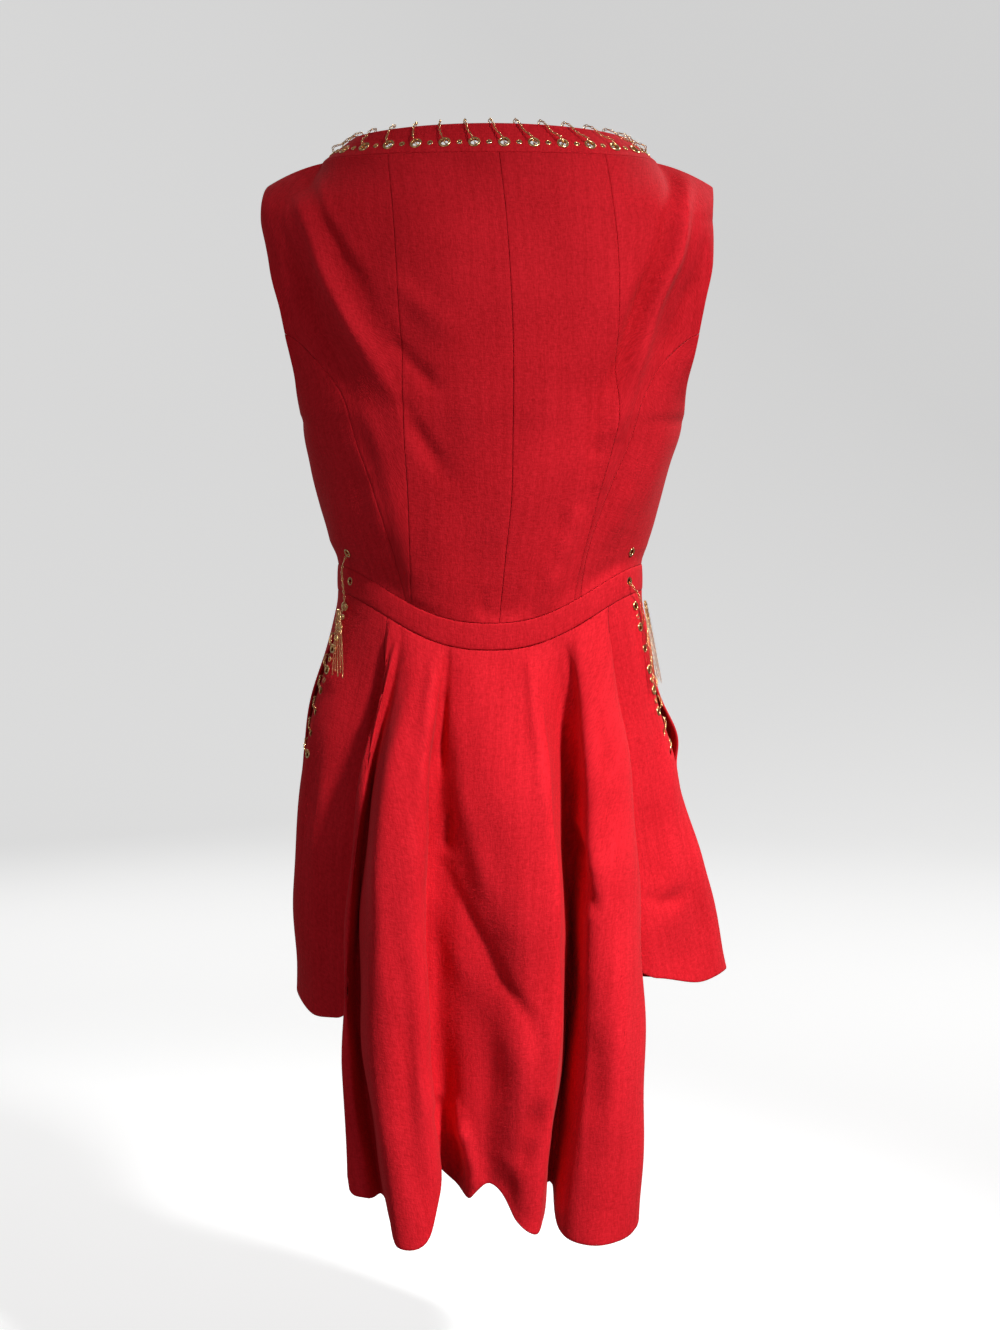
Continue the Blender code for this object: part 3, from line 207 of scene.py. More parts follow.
# Creases: facing, half width, height (a trough is negative), then x and z along the crease
CREASE_COLUMNS = ("facing", "width", "height", "path")
CREASES = (
    (-1, 6.5, 6.5, ((-166, -14), (-143, -69), (-128, -108), (-106, -148), (-72, -205))),
    (-1, 8.0, -4.0, ((-178, -44), (-161, -84), (-146, -124), (-124, -168), (-92, -218))),
    (-1, 9.0, -3.6, ((-152, -12), (-128, -60), (-112, -98), (-90, -138), (-66, -176))),
    (-1, 5.0, 3.0, ((-147, -4), (-129, -50), (-112, -80), (-96, -100))),
    (-1, 9.0, 1.8, ((-84, -98), (-52, -128), (-22, -150))),
    (-1, 9.0, 2.2, ((-112, -180), (-92, -230), (-74, -300), (-60, -372))),
    (-1, 6.0, -2.4, ((-80, -152), (-62, -172), (-38, -197))),
    (-1, 6.5, -2.4, ((-72, -196), (-52, -236), (-29, -270))),
    (-1, 6.0, 8.0, ((168, -2), (160, -41), (152, -81), (138, -112), (122, -164), (99, -232))),
    (-1, 7.0, -7.0, ((153, -4), (147, -45), (138, -86), (122, -124), (107, -170), (88, -224))),
    (-1, 7.0, -3.0, ((180, -52), (170, -96), (152, -142), (134, -190))),
    (-1, 5.5, -1.8, ((91, -200), (87, -232), (80, -270))),
    (-1, 7.0, 1.4, ((100, -208), (95, -240), (88, -274))),
    (-1, 6.5, 3.0, ((76, -284), (56, -336), (39, -380))),
    (-1, 6.0, -2.0, ((64, -290), (44, -338), (28, -376))),
    (-1, 4.0, -1.4, ((-5, -352), (-6, -366), (-8, -378))),
    (-1, 7.0, 1.8, ((-112, -232), (-96, -272), (-88, -318))),
    (-1, 7.0, 1.6, ((122, -236), (112, -282), (98, -322))),
    (1, 8.0, 3.6, ((-150, -45), (-132, -84), (-104, -122), (-78, -142))),
    (1, 8.0, 3.6, ((152, -38), (132, -80), (106, -118), (80, -142))),
    (1, 8.0, -2.8, ((-160, -120), (-132, -140), (-98, -156))),
    (1, 8.0, -2.8, ((162, -116), (134, -138), (100, -154))),
    (1, 6.0, -1.8, ((-36, -196), (-52, -250), (-58, -310))),
    (1, 6.0, -1.8, ((38, -190), (50, -244), (57, -306))),
    (1, 7.0, 1.6, ((-88, -232), (-84, -280), (-76, -318))),
    (1, 7.0, 1.6, ((90, -228), (86, -276), (78, -318))),
    (-1, 14.0, 3.2, ((-50, -590), (-32, -630), (-12, -668), (14, -706), (22, -740), (12, -775), (0, -812))),
    (-1, 6.0, -2.6, ((-44, -562), (-30, -590), (-9, -628), (11, -665), (36, -700), (40, -734), (30, -767),
                     (14, -808))),
    (-1, 9.0, 3.0, ((-30, -430), (-24, -500), (-8, -570), (10, -630))),
    (-1, 4.5, 4.0, ((-27, -762), (-19, -796), (-10, -838))),
    (-1, 6.0, -5.0, ((-43, -766), (-33, -802), (-27, -836))),
    (-1, 9.0, -6.0, ((44, -756), (28, -800), (14, -833), (22, -866))),
    (-1, 3.6, -4.5, ((-66, -382), (-80, -398), (-88, -420), (-95, -462), (-100, -520))),
    (-1, 3.6, -5.0, ((-35, -390), (-35, -412), (-37, -440), (-40, -480), (-43, -540))),
    (-1, 5.0, 3.2, ((-45, -400), (-50, -450), (-56, -530))),
    (-1, 4.5, -3.0, ((-31, -530), (-34, -548), (-36, -566))),
    (-1, 4.5, -4.5, ((63, -396), (66, -430), (68, -480), (68, -540))),
    (-1, 4.0, 2.4, ((30, -392), (35, -440), (42, -500), (50, -560))),
    (-1, 5.0, -3.6, ((88, -446), (96, -500), (96, -535), (88, -572))),
    (-1, 5.0, -5.0, ((69, -545), (76, -579), (84, -612))),
    (-1, 8.0, 2.6, ((-84, -520), (-88, -600), (-82, -690), (-72, -770))),
    (-1, 7.0, -2.8, ((-66, -640), (-66, -720), (-62, -800), (-50, -850))),
    (-1, 6.0, 3.0, ((-48, -640), (-52, -740), (-46, -800), (-38, -850))),
    (-1, 10.0, 2.6, ((98, -600), (104, -690), (100, -780), (94, -850))),
    (-1, 9.0, -2.4, ((78, -660), (84, -740), (78, -820))),
    (-1, 7.0, -2.6, ((128, -612), (150, -620), (172, -612))),
    (-1, 9.0, 2.6, ((138, -440), (152, -520), (160, -600), (168, -670))),
    (-1, 8.0, -2.4, ((122, -480), (134, -560), (142, -640))),
    (-1, 9.0, 2.4, ((-134, -470), (-146, -560), (-150, -660))),
    (1, 12.0, 4.0, ((-90, -440), (-104, -540), (-116, -640), (-120, -720))),
    (1, 12.0, 4.0, ((86, -440), (106, -540), (128, -640), (142, -715))),
    (1, 11.0, -3.6, ((-40, -430), (-50, -520), (-58, -620), (-62, -720))),
    (1, 11.0, -3.6, ((42, -430), (52, -530), (62, -630), (68, -720))),
    (1, 12.0, 3.0, ((-4, -480), (2, -570), (-4, -660), (0, -720))),
)
CREASE_POINTS = 90
# Unevenness along a crease: share of its height, and how fast it changes
UNEVEN_SLOW = (0.22, 9.0)
UNEVEN_FAST = (0.12, 23.0)
# Slow waves of the cloth: wave vector in turns per metre, height in millimetres, phase in turns
WAVES = (
    ((9.0, 4.0, 3.0), 0.7, 0.13), ((-6.0, 7.0, 8.0), 0.6, 0.41), ((14.0, -5.0, 4.0), 0.45, 0.77),
    ((5.0, 12.0, -11.0), 0.4, 0.29), ((-17.0, 9.0, 7.0), 0.3, 0.58), ((21.0, 15.0, -5.0), 0.2, 0.91),
)


def unit(vectors):
    """Vectors divided by their lengths."""
    length = np.linalg.norm(vectors, axis=-1, keepdims=True)
    return vectors / np.maximum(length, 1e-9)


def hermite(knots, values, at, limited=False):
    """Cells, steps and slopes of a smooth curve: each slope is the weighted mean of the rises beside it,
    or with limited their harmonic mean, which never swings past a knot."""
    knots = np.asarray(knots, float)
    values = np.asarray(values, float)
    step = np.diff(knots).reshape((-1,) + (1,) * (values.ndim - 1))
    rise = np.diff(values, axis=0) / step
    slopes = np.empty_like(values)
    slopes[0] = rise[0]
    slopes[-1] = rise[-1]
    slopes[1:-1] = (rise[:-1] * step[1:] + rise[1:] * step[:-1]) / (step[1:] + step[:-1])
    if limited:
        same = rise[:-1] * rise[1:] > 0
        total = np.where(same, rise[:-1] + rise[1:], 1.0)
        slopes[1:-1] = np.where(same, 2 * rise[:-1] * rise[1:] / total, 0.0)
    place = np.clip(np.searchsorted(knots, at, side="right") - 1, 0, len(knots) - 2)
    gap = knots[place + 1] - knots[place]
    u = (at - knots[place]) / gap
    return place, gap, u, slopes


def blend(place, gap, u, slopes, values, column=None):
    """Cubic blend of the values on both sides of each place: the four Hermite weights of u."""
    if column is None:
        low, high = values[place], values[place + 1]
        slope_low, slope_high = slopes[place], slopes[place + 1]
    else:
        low, high = values[place, column], values[place + 1, column]
        slope_low, slope_high = slopes[place, column], slopes[place + 1, column]
    extra = (1,) * (low.ndim - np.ndim(u))
    u = np.reshape(u, np.shape(u) + extra)
    gap = np.reshape(gap, np.shape(gap) + extra)
    return ((1 + 2 * u) * (1 - u) ** 2 * low + u * (1 - u) ** 2 * gap * slope_low
            + u * u * (3 - 2 * u) * high + u * u * (u - 1) * gap * slope_high)


def run_along(points):
    """Running length along a line of points."""
    return np.concatenate([[0], np.cumsum(np.linalg.norm(np.diff(points, axis=0), axis=1))])


def smooth_line(points, count):
    """A smooth curve through points, count points at even steps of the chords' length."""
    points = np.asarray(points, float)
    run = run_along(points)
    place, gap, u, slopes = hermite(run, points, np.linspace(0, run[-1], count))
    return blend(place, gap, u, slopes, points)


def neck_ring(form, angle):
    """Half an ellipse on each side of the shoulders, its height easing by the square of the cosine."""
    turn = np.radians(angle)
    back = np.cos(turn) > 0
    depth = np.where(back, form["back"], form["front"])
    mid_z = np.where(back, form["back_z"], form["front_z"])
    z = form["side_z"] + (mid_z - form["side_z"]) * np.cos(turn) ** 2
    return np.stack([form["half"] * np.sin(turn), -depth * np.cos(turn), z], axis=-1)


def neckband_point(angle, height):
    """Neckband: straight from the seam at height 0 to the edge at height 1."""
    height = np.asarray(height, float)[..., None]
    return neck_ring(NECK_SEAM, angle) * (1 - height) + neck_ring(NECK_EDGE, angle) * height


def neckband_normal(angle, height):
    """Cross product of small steps along and up the neckband."""
    along = neckband_point(angle + 0.5, height) - neckband_point(angle - 0.5, height)
    up = neckband_point(angle, height + 0.05) - neckband_point(angle, height - 0.05)
    return unit(np.cross(along, up))


def top_section(facing):
    """Right half of the top section: the neck seam, then the arched shoulder seam."""
    share = np.linspace(0, 1, STATIONS)
    neck_angle = 90 * np.minimum(share / NECK_SHARE, 1)
    neck = neck_ring(NECK_SEAM, neck_angle if facing < 0 else 180 - neck_angle)
    over = np.clip((share - NECK_SHARE) / (1 - NECK_SHARE), 0, 1)[:, None]
    start = neck_ring(NECK_SEAM, np.array(90.0))
    shoulder = start * (1 - over) + np.array(SHOULDER_END) * over
    shoulder[:, 2] += SHOULDER_RISE * 4 * over[:, 0] * (1 - over[:, 0])
    return np.where(over > 0, shoulder, neck)


def body_section(row, facing):
    """Right half of a section: a squarish ellipse that turns out to the armhole edge, in equal steps."""
    turn = np.linspace(0, math.pi / 2, 400)
    power = 2 / SECTION_POWER
    depth, edge = (row["back"], row["back_edge"]) if facing < 0 else (row["front"], row["front_edge"])
    x = row["half"] * np.sin(turn) ** power
    inward = np.cos(turn) ** power
    y = depth * inward + edge * (1 - inward) ** EDGE_POWER
    run = np.concatenate([[0], np.cumsum(np.hypot(np.diff(x), np.diff(y)))])
    even = np.linspace(0, run[-1], STATIONS)
    x = np.interp(even, run, x)
    y = np.interp(even, run, y)
    mid = row["mid"] if facing < 0 or row["drop"] <= UNDERARM else row["edge"]
    across = (1 - np.clip(x / row["half"], 0, 1) ** DIP_POWER) ** 2
    return np.stack([x, facing * y, row["edge"] + (mid - row["edge"]) * across], axis=-1)


def body_net(facing):
    """The drops, points and sideways leans of all sections of one side, from the top section down."""
    rows = [dict(zip(BODY_COLUMNS, row)) for row in BODY_ROWS]
    drops = np.array([0.0] + [row["drop"] for row in rows])
    net = np.array([top_section(facing)] + [body_section(row, facing) for row in rows])
    return drops, net, np.array([0.0] + [row["lean"] for row in rows])


BODY = {-1: body_net(-1), 1: body_net(1)}


def body_point(facing, across, drop):
    """Bodice: sections blended down the body. Across is -1 at the left edge and 1 at the right one."""
    across, drop = np.broadcast_arrays(np.asarray(across, float), np.asarray(drop, float))
    shape = across.shape
    across, drop = across.ravel(), drop.ravel()
    drops, net, lean = BODY[facing]
    station = np.minimum(np.abs(across), 1) * (STATIONS - 1)
    low = np.minimum(station.astype(int), STATIONS - 2)
    part = (station - low)[:, None]
    columns = net[:, low] * (1 - part) + net[:, low + 1] * part
    place, gap, u, slopes = hermite(drops, columns, drop, limited=True)
    points = blend(place, gap, u, slopes, columns, np.arange(len(drop)))
    points[:, 0] *= np.where(across < 0, -1, 1)
    points[:, 0] += np.interp(drop, drops, lean)
    rounding = np.sin(math.pi * np.clip(drop / ARMHOLE_ROUND, 0, 1)) * np.abs(across) ** 6
    points[:, 1] += facing * ARMHOLE_TOP * rounding
    return points.reshape(shape + (3,))


def body_normal(facing, across, drop):
    """Cross product of small steps across and down the bodice."""
    step_across, step_drop = 0.012, 2.0
    right = body_point(facing, np.clip(across + step_across, -1, 1), drop)
    left = body_point(facing, np.clip(across - step_across, -1, 1), drop)
    low = body_point(facing, across, np.minimum(drop + step_drop, WAIST_LOW))
    high = body_point(facing, across, np.maximum(drop - step_drop, 0))
    return unit(np.cross(right - left, high - low)) * -facing


def body_across(facing, x, drop):
    """The surface's place of a sideways position, read from trial points at each drop."""
    x, drop = (np.atleast_1d(np.asarray(value, float)) for value in (x, drop))
    trial = np.linspace(-1, 1, BODY_TRIALS)
    line = body_point(facing, trial[None, :], drop[:, None])[..., 0]
    low = np.clip((line < x[:, None]).sum(axis=1) - 1, 0, len(trial) - 2)[:, None]
    start = np.take_along_axis(line, low, 1)[:, 0]
    end = np.take_along_axis(line, low + 1, 1)[:, 0]
    return trial[low[:, 0]] + np.clip((x - start) / (end - start), 0, 1) * (trial[1] - trial[0])


def seam_across(name, drop):
    """A back seam's place on the surface, read from its table."""
    table = np.array(BACK_SEAMS[name], float)
    place, gap, u, slopes = hermite(table[:, 0], table[:, 1], drop)
    return body_across(-1, blend(place, gap, u, slopes, table[:, 1]), drop)


def skirt_places():
    """Places of the ribs round the dress, by the root of their spacing at the low level."""
    plan = np.array([row[4:6] for row in RIBS.values()], float)
    step = np.linalg.norm(np.roll(plan, -1, axis=0) - plan, axis=1) ** 0.5
    return np.concatenate([[0], np.cumsum(step)])


RIB_PLACES = skirt_places()
TURN = RIB_PLACES[-1]


def rib_knots(name):
    """The four places that a rib runs through: waistband, hip level, low level and hem."""
    row = dict(zip(RIB_COLUMNS, RIBS[name]))
    facing = 1 if row["front"] else -1
    top = body_point(facing, body_across(facing, row["waist"], WAIST_LOW), WAIST_LOW)[0]
    low_z = LOW_Z_LONG if row["hem_z"] < LONG_HEM else LOW_Z_SHORT
    return np.array([top, (row["hip_x"], row["hip_y"], HIP_Z), (row["low_x"], row["low_y"], low_z),
                     (row["hem_x"], row["hem_y"], row["hem_z"])], float)


RIB_KNOTS = {name: rib_knots(name) for name in RIB_NAMES}


def rib_curve(name, fall):
    """Points of one rib, smooth through its knots, at falls from 0 on the waistband to 1 at the hem."""
    knots = RIB_KNOTS[name]
    z = knots[0, 2] + (knots[-1, 2] - knots[0, 2]) * fall
    place, gap, u, slopes = hermite(-knots[:, 2], knots, -z)
    points = blend(place, gap, u, slopes, knots)
    points[:, 2] = z
    return points


def skirt_point(place, fall):
    """Skirt: smooth across the ribs at each fall. Falls run down the grid and places across it."""
    ribs = np.array([rib_curve(name, fall) for name in RIB_NAMES])
    around = 2
    wrapped = np.concatenate([ribs[-around:], ribs, ribs[:around + 1]])
    knots = np.concatenate([RIB_PLACES[-1 - around:-1] - TURN, RIB_PLACES, RIB_PLACES[1:around + 1] + TURN])
    cell, gap, u, slopes = hermite(knots, wrapped, np.mod(place, TURN))
    return np.swapaxes(blend(cell, gap, u, slopes, wrapped), 0, 1)


def skirt_normal(place, fall):
    """Cross product of small steps round and down the skirt, level at the waistband."""
    step_place, step_fall = 0.05, 0.004
    right = skirt_point(place + step_place, fall)
    left = skirt_point(place - step_place, fall)
    low = skirt_point(place, np.minimum(fall + step_fall, 1))
    high = skirt_point(place, np.maximum(fall - step_fall, 0))
    normal = unit(np.cross(right - left, high - low))
    level = unit(normal * np.array([1.0, 1.0, 0.0]))
    return np.where((fall <= 0)[:, None, None], level, normal)


def waist_rounds():
    """The ribs' places counted round the waistband: the back is -1 to 1 and the front 1 to 3."""
    rounds = []
    for name in RIB_NAMES + RIB_NAMES[:1]:
        row = dict(zip(RIB_COLUMNS, RIBS[name]))
        across = float(body_across(1 if row["front"] else -1, row["waist"], WAIST_LOW)[0])
        rounds.append(2 - across if row["front"] else across)
    rounds = np.array(rounds)
    return rounds + 4 * np.concatenate([[0], np.cumsum(np.diff(rounds) < 0)])


WAIST_ROUNDS = waist_rounds()


def waist_points(place):
    """The skirt's top edge, exactly along the lower edge of the waistband."""
    turn = np.mod(place, TURN)
    turn = np.where((turn == 0) & (np.arange(len(place)) > 0), TURN, turn)
    found = np.mod(np.interp(turn, RIB_PLACES, WAIST_ROUNDS) + 1, 4) - 1
    back = body_point(-1, np.clip(found, -1, 1), WAIST_LOW)
    front = body_point(1, np.clip(2 - found, -1, 1), WAIST_LOW)
    return np.where((found <= 1)[:, None], back, front)


def rib_place(name):
    """A rib's place round the dress."""
    return RIB_PLACES[RIB_NAMES.index(name)]


def slit_gape(points, count, side):
    """Moves the front skirt's edge out and forward along the pocket slit, less with each column."""
    z = points[:, :, 2]
    down = np.clip((SLIT_TOP - z) / (SLIT_TOP - SLIT_END), 0, 1)
    lift = np.sin(math.pi * down ** (math.log(0.5) / math.log(GAPE_PEAK[side]))) ** 2
    fade = np.clip(1 - count / GAPE_COLUMNS, 0, 1) ** 1.3
    out = -1.0 if side == "left" else 1.0
    open_share = np.clip(np.minimum(SLIT_TOP - z, z - SLIT_END) / SLIT_EASE, 0, 1)
    moved = points.copy()
    moved[:, :, 0] += out * (GAPE_OUT[side] * lift + open_share) * fade
    moved[:, :, 1] += GAPE_FORWARD * open_share ** 0.8 * fade
    return moved


def slit_point(side, z, inboard, depth=0.0):
    """A point and normal by the pocket slit: inboard along the side panel, depth into the dress."""
    name = "slit_" + side
    trial = np.linspace(0, 1, RIB_TRIALS)
    fall = np.interp(-z, -rib_curve(name, trial)[:, 2], trial)
    toward = -1.0 if side == "right" else 1.0
    reach = np.linspace(-SLIT_REACH, SLIT_REACH, SLIT_TRIALS)
    line = skirt_point(rib_place(name) + reach * toward, np.array([fall]))[0]
    run = run_along(line)
    run -= run[SLIT_TRIALS // 2]
    step = np.interp(inboard, run, reach) * toward
    place = np.array([rib_place(name) + step])
    point = skirt_point(place, np.array([fall]))[0, 0]
    normal = skirt_normal(place, np.array([max(fall, 0.001)]))[0, 0]
    return point - normal * depth, normal


def neck_run():
    """Angles and eyelet counts along the neckband from the left shoulder, as many on each half."""
    angle = np.linspace(-90, 270, NECK_TRIALS)
    line = neckband_point(angle, np.full_like(angle, NECK_EYELET_HEIGHT))
    run = run_along(line)
    half = run[NECK_TRIALS // 2]
    back_count = run / half * NECK_EYELETS / 2
    front_count = NECK_EYELETS / 2 * (1 + (run - half) / (run[-1] - half))
    return angle, np.where(angle < 90, back_count, front_count), run[-1] / NECK_EYELETS


NECK_ANGLE, NECK_COUNT, NECK_PITCH = neck_run()


def neck_spot(count, height, out):
    """A point by the neckband: eyelet steps from the left shoulder, height as a share, out of the cloth."""
    angle = np.array(np.interp(np.mod(count, NECK_EYELETS), NECK_COUNT, NECK_ANGLE))
    normal = neckband_normal(angle, np.array(min(height, 1.0)))
    return neckband_point(angle, np.array(height)) + normal * out, normal


def places(length, step, spots=(), reach=5.5, fine=1.0):
    """Sample places from 0 to length, a step apart, closer near both ends and round the spots."""
    base = np.linspace(0, length, max(3, int(round(length / step)) + 1))
    for spot in spots:
        base = base[np.abs(base - spot) > reach]
    near = np.array((0.8, 1.7, 2.8))
    extra = [np.arange(spot - reach, spot + reach + fine / 2, fine) for spot in spots]
    line = np.sort(np.concatenate([[0.0, length], base, near, length - near] + extra))
    line = line[(line >= 0) & (line <= length)]
    kept = line[np.unique(np.round(line / 0.5), return_index=True)[1]]
    kept[-1] = length
    return kept


def crease_lift(points, facing):
    """Height of the creases: a bell across each crease's line, tapering to both of its ends."""
    lift = np.zeros(points.shape[:-1])
    on_side = np.clip(points[..., 1] * facing / 25 + 0.2, 0, 1)
    for row in CREASES:
        crease = dict(zip(CREASE_COLUMNS, row))
        if crease["facing"] != facing:
            continue
        line = smooth_line(crease["path"], CREASE_POINTS)
        reach = 3 * crease["width"]
        x, z = points[..., 0], points[..., 2]
        inside = ((x > line[:, 0].min() - reach) & (x < line[:, 0].max() + reach)
                  & (z > line[:, 1].min() - reach) & (z < line[:, 1].max() + reach))
        if not inside.any():
            continue
        away = np.hypot(x[inside][:, None] - line[:, 0], z[inside][:, None] - line[:, 1])
        nearest = away.argmin(axis=1)
        share = nearest / (len(line) - 1)
        uneven = (1 + UNEVEN_SLOW[0] * np.sin(UNEVEN_SLOW[1] * share + line[0, 0])
                  + UNEVEN_FAST[0] * np.sin(UNEVEN_FAST[1] * share + line[0, 1]))
        width = crease["width"] * (0.8 + 0.5 * share)
        bell = np.exp(-(away.min(axis=1) / width) ** 2) * np.sin(math.pi * np.clip(share, 0, 1)) ** 0.7
        lift[inside] += crease["height"] * bell * uneven
    return lift * on_side


def wave_lift(points):
    """Slow unevenness of the cloth: a sum of plane waves."""
    lift = np.zeros(points.shape[:-1])
    for vector, height, phase in WAVES:
        lift += height * np.sin(2 * math.pi * (points @ (np.array(vector) * MM) + phase))
    return lift


def arc(grid, axis):
    """Running length along one axis of a grid of points."""
    step = np.linalg.norm(np.diff(grid, axis=axis), axis=-1)
    pad = [(1, 0) if k == axis else (0, 0) for k in (0, 1)]
    return np.pad(np.cumsum(step, axis=axis), pad)


def grid_normals(grid, like):
    """Cross product of the grid's own slopes, turned to the side that 'like' points to."""
    normal = unit(np.cross(np.gradient(grid, axis=0), np.gradient(grid, axis=1)))
    return normal * np.where((normal * like).sum(axis=-1, keepdims=True) < 0, -1, 1)


def build_mesh(name, vertices, faces, finish, uv=None, values=None):
    """Puts vertices in millimetres and four-cornered faces into a smooth mesh object."""
    used, index = np.unique(faces, return_inverse=True)
    faces = index.reshape(faces.shape)
    mesh = bpy.data.meshes.new(name)
    mesh.vertices.add(len(used))
    mesh.vertices.foreach_set("co", (vertices[used] * MM).astype(np.float32).ravel())
    mesh.loops.add(faces.size)
    mesh.loops.foreach_set("vertex_index", faces.astype(np.int32).ravel())
    mesh.polygons.add(len(faces))
    mesh.polygons.foreach_set("loop_start", np.arange(0, faces.size, 4, dtype=np.int32))
    mesh.polygons.foreach_set("use_smooth", np.ones(len(faces), bool))
    mesh.update(calc_edges=True)
    if uv is not None:
        layer = mesh.uv_layers.new(name="weave")
        layer.data.foreach_set("uv", (uv[used] * MM)[faces.ravel()].astype(np.float32).ravel())
    for key, value in (values or {}).items():
        layer = mesh.attributes.new(key, "FLOAT", "POINT")
        layer.data.foreach_set("value", value[used].astype(np.float32))
    mesh.materials.append(finish)
    made = bpy.data.objects.new(name, mesh)
    bpy.context.scene.collection.objects.link(made)
    return made


def snap_holes(outer, inner, holes):
    """Marks the cells inside the eyelet holes and moves the corners beside them onto the circles."""
    rows, columns = outer.shape[:2]
    gone = np.zeros((rows - 1, columns - 1), bool)
    for centre, normal, radius in holes:
        offset = outer - centre
        high = offset @ normal
        flat = offset - high[..., None] * normal
        away = np.linalg.norm(flat, axis=-1)
        far = np.abs(high) > 8
        middle = (away[:-1, :-1] + away[1:, :-1] + away[:-1, 1:] + away[1:, 1:]) / 4
        cut = (middle < radius) & ~(far[:-1, :-1] | far[1:, 1:])
        gone |= cut
        touch = np.zeros((rows, columns), int)
        for i, j in ((0, 0), (1, 0), (0, 1), (1, 1)):
            touch[i:rows - 1 + i, j:columns - 1 + j] += cut
        rim = (touch > 0) & (touch < 4)
        shift = flat[rim] * (radius / np.maximum(away[rim], 1e-6) - 1)[:, None]
        outer[rim] += shift
        inner[rim] += shift
    return gone


def shell_faces(rows, columns, gone):
    """Faces of a closed shell: outer grid, inner grid, a rounded rim of two strips, and hole walls."""
    index = np.arange(rows * columns).reshape(rows, columns)
    under = rows * columns
    kept = ~gone
    quads = np.stack([index[:-1, :-1], index[1:, :-1], index[1:, 1:], index[:-1, 1:]], axis=-1)
    top = quads[kept]
    low = top[:, ::-1] + under
    loop = np.concatenate([index[:, 0], index[-1, 1:], index[-2::-1, -1], index[0, -2:0:-1]])
    after = np.roll(loop, -1)
    rim = 2 * under + np.arange(len(loop))
    rim_after = np.roll(rim, -1)
    faces = [top, low, np.stack([after, loop, rim, rim_after], axis=-1),
             np.stack([rim_after, rim, loop + under, after + under], axis=-1)]
    for one, other, a, b in (
            (kept[:, :-1], kept[:, 1:], index[1:, 1:-1], index[:-1, 1:-1]),
            (kept[:-1], kept[1:], index[1:-1, :-1], index[1:-1, 1:])):
        for keep, lose, first, second in ((one, other, a, b), (other, one, b, a)):
            edge = keep & ~lose
            start, end = first[edge], second[edge]
            faces.append(np.stack([end, start, start + under, end + under], axis=-1))
    return np.concatenate(faces), loop


def shell(name, base, like, kinds, lift=True, holes=(), fade_top=0.0, fade_low=0.0):
    """One cut piece as a thin closed shell: the base grid raised by the creases, its inner face a
    cloth's thickness below, the edges rolled down and rounded.

    kinds says for top, bottom, left and right whether it is a seam or a turned edge.
    """
    rows, columns = base.shape[:2]
    down, along = arc(base, 0), arc(base, 1)
    apart = {"top": down, "bottom": down[-1] - down, "left": along, "right": along[:, -1:] - along}
    raised = np.zeros((rows, columns))
    if lift:
        raised = crease_lift(base, -1) + crease_lift(base, 1) + wave_lift(base)
        if fade_top:
            raised *= np.clip(down / fade_top, 0, 1)
        if fade_low:
            raised *= np.clip(apart["bottom"] / fade_low, 0, 1)
    # the crease and wave heights are kept to paint light on the crests and shade in the troughs
    crest_shade = raised.copy()
    # the seam mask paints shade, with a little wear, into the cloth's colour beside the seams
    seam_shade_mask = np.zeros((rows, columns))
    thick = np.full((rows, columns), WALL)
    for key, kind in zip(EDGES, kinds):
        roll, wide, extra, reach = EDGE_KINDS[kind]
        bell = np.exp(-(apart[key] / wide) ** 2)
        raised = raised - roll * bell
        if kind == "seam":
            seam_shade_mask = np.maximum(seam_shade_mask, bell)
        thick = thick + extra * np.clip((reach - apart[key]) / EXTRA_STEP, 0, 1)
    thick = np.minimum(thick, WALL + EXTRA_STEP)
    outer = base + like * raised[..., None]
    near_edge = np.clip(1 - np.minimum.reduce(list(apart.values())) / 8, 0, 1)[..., None]
    side = unit(grid_normals(outer, like) * (1 - near_edge) + like * near_edge)
    pulls = {"top": (0, 1), "bottom": (-1, -2), "left": (0, 1), "right": (-1, -2)}
    edge_rows = {}
    pulled = outer.copy()
    for key, (near, inward) in pulls.items():
        if key in ("top", "bottom"):
            toward = unit(outer[inward] - outer[near])
            pulled[near] += ROUND * toward
        else:
            toward = unit(outer[:, inward] - outer[:, near])
            pulled[:, near] += ROUND * toward
        edge_rows[key] = -ROUND * toward
    outer = pulled
    inner = outer - side * thick[..., None]
    gone = snap_holes(outer, inner, holes)
    faces, loop = shell_faces(rows, columns, gone)
    push = np.zeros((rows, columns, 3))
    push[0] += edge_rows["top"]
    push[-1] += edge_rows["bottom"]
    push[:, 0] += edge_rows["left"]
    push[:, -1] += edge_rows["right"]
    middle = ((outer + inner) / 2 + push).reshape(-1, 3)[loop]
    vertices = np.concatenate([outer.reshape(-1, 3), inner.reshape(-1, 3), middle])
    first = faces[0]
    flat = outer.reshape(-1, 3)
    facing = np.cross(flat[first[1]] - flat[first[0]], flat[first[3]] - flat[first[0]])
    if facing @ side.reshape(-1, 3)[first[0]] < 0:
        faces = faces[:, ::-1]
    weave = np.stack([along - along[:, columns // 2][:, None], -down], axis=-1).reshape(-1, 2)
    weave = np.concatenate([weave, weave + 3.0, weave[loop]])

    def spread(values):
        """One value for each outer, inner and rim vertex."""
        values = values.ravel()
        return np.concatenate([values, values, values[loop]])

    made = build_mesh(name + "_cloth", vertices, faces, CREPE, weave,
                      {"seam": spread(seam_shade_mask), "crest_shade": spread(crest_shade)})
    cells = np.cross(base[1:, :-1] - base[:-1, :-1], base[:-1, 1:] - base[:-1, :-1])
    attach(made, "root")
    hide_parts(name)


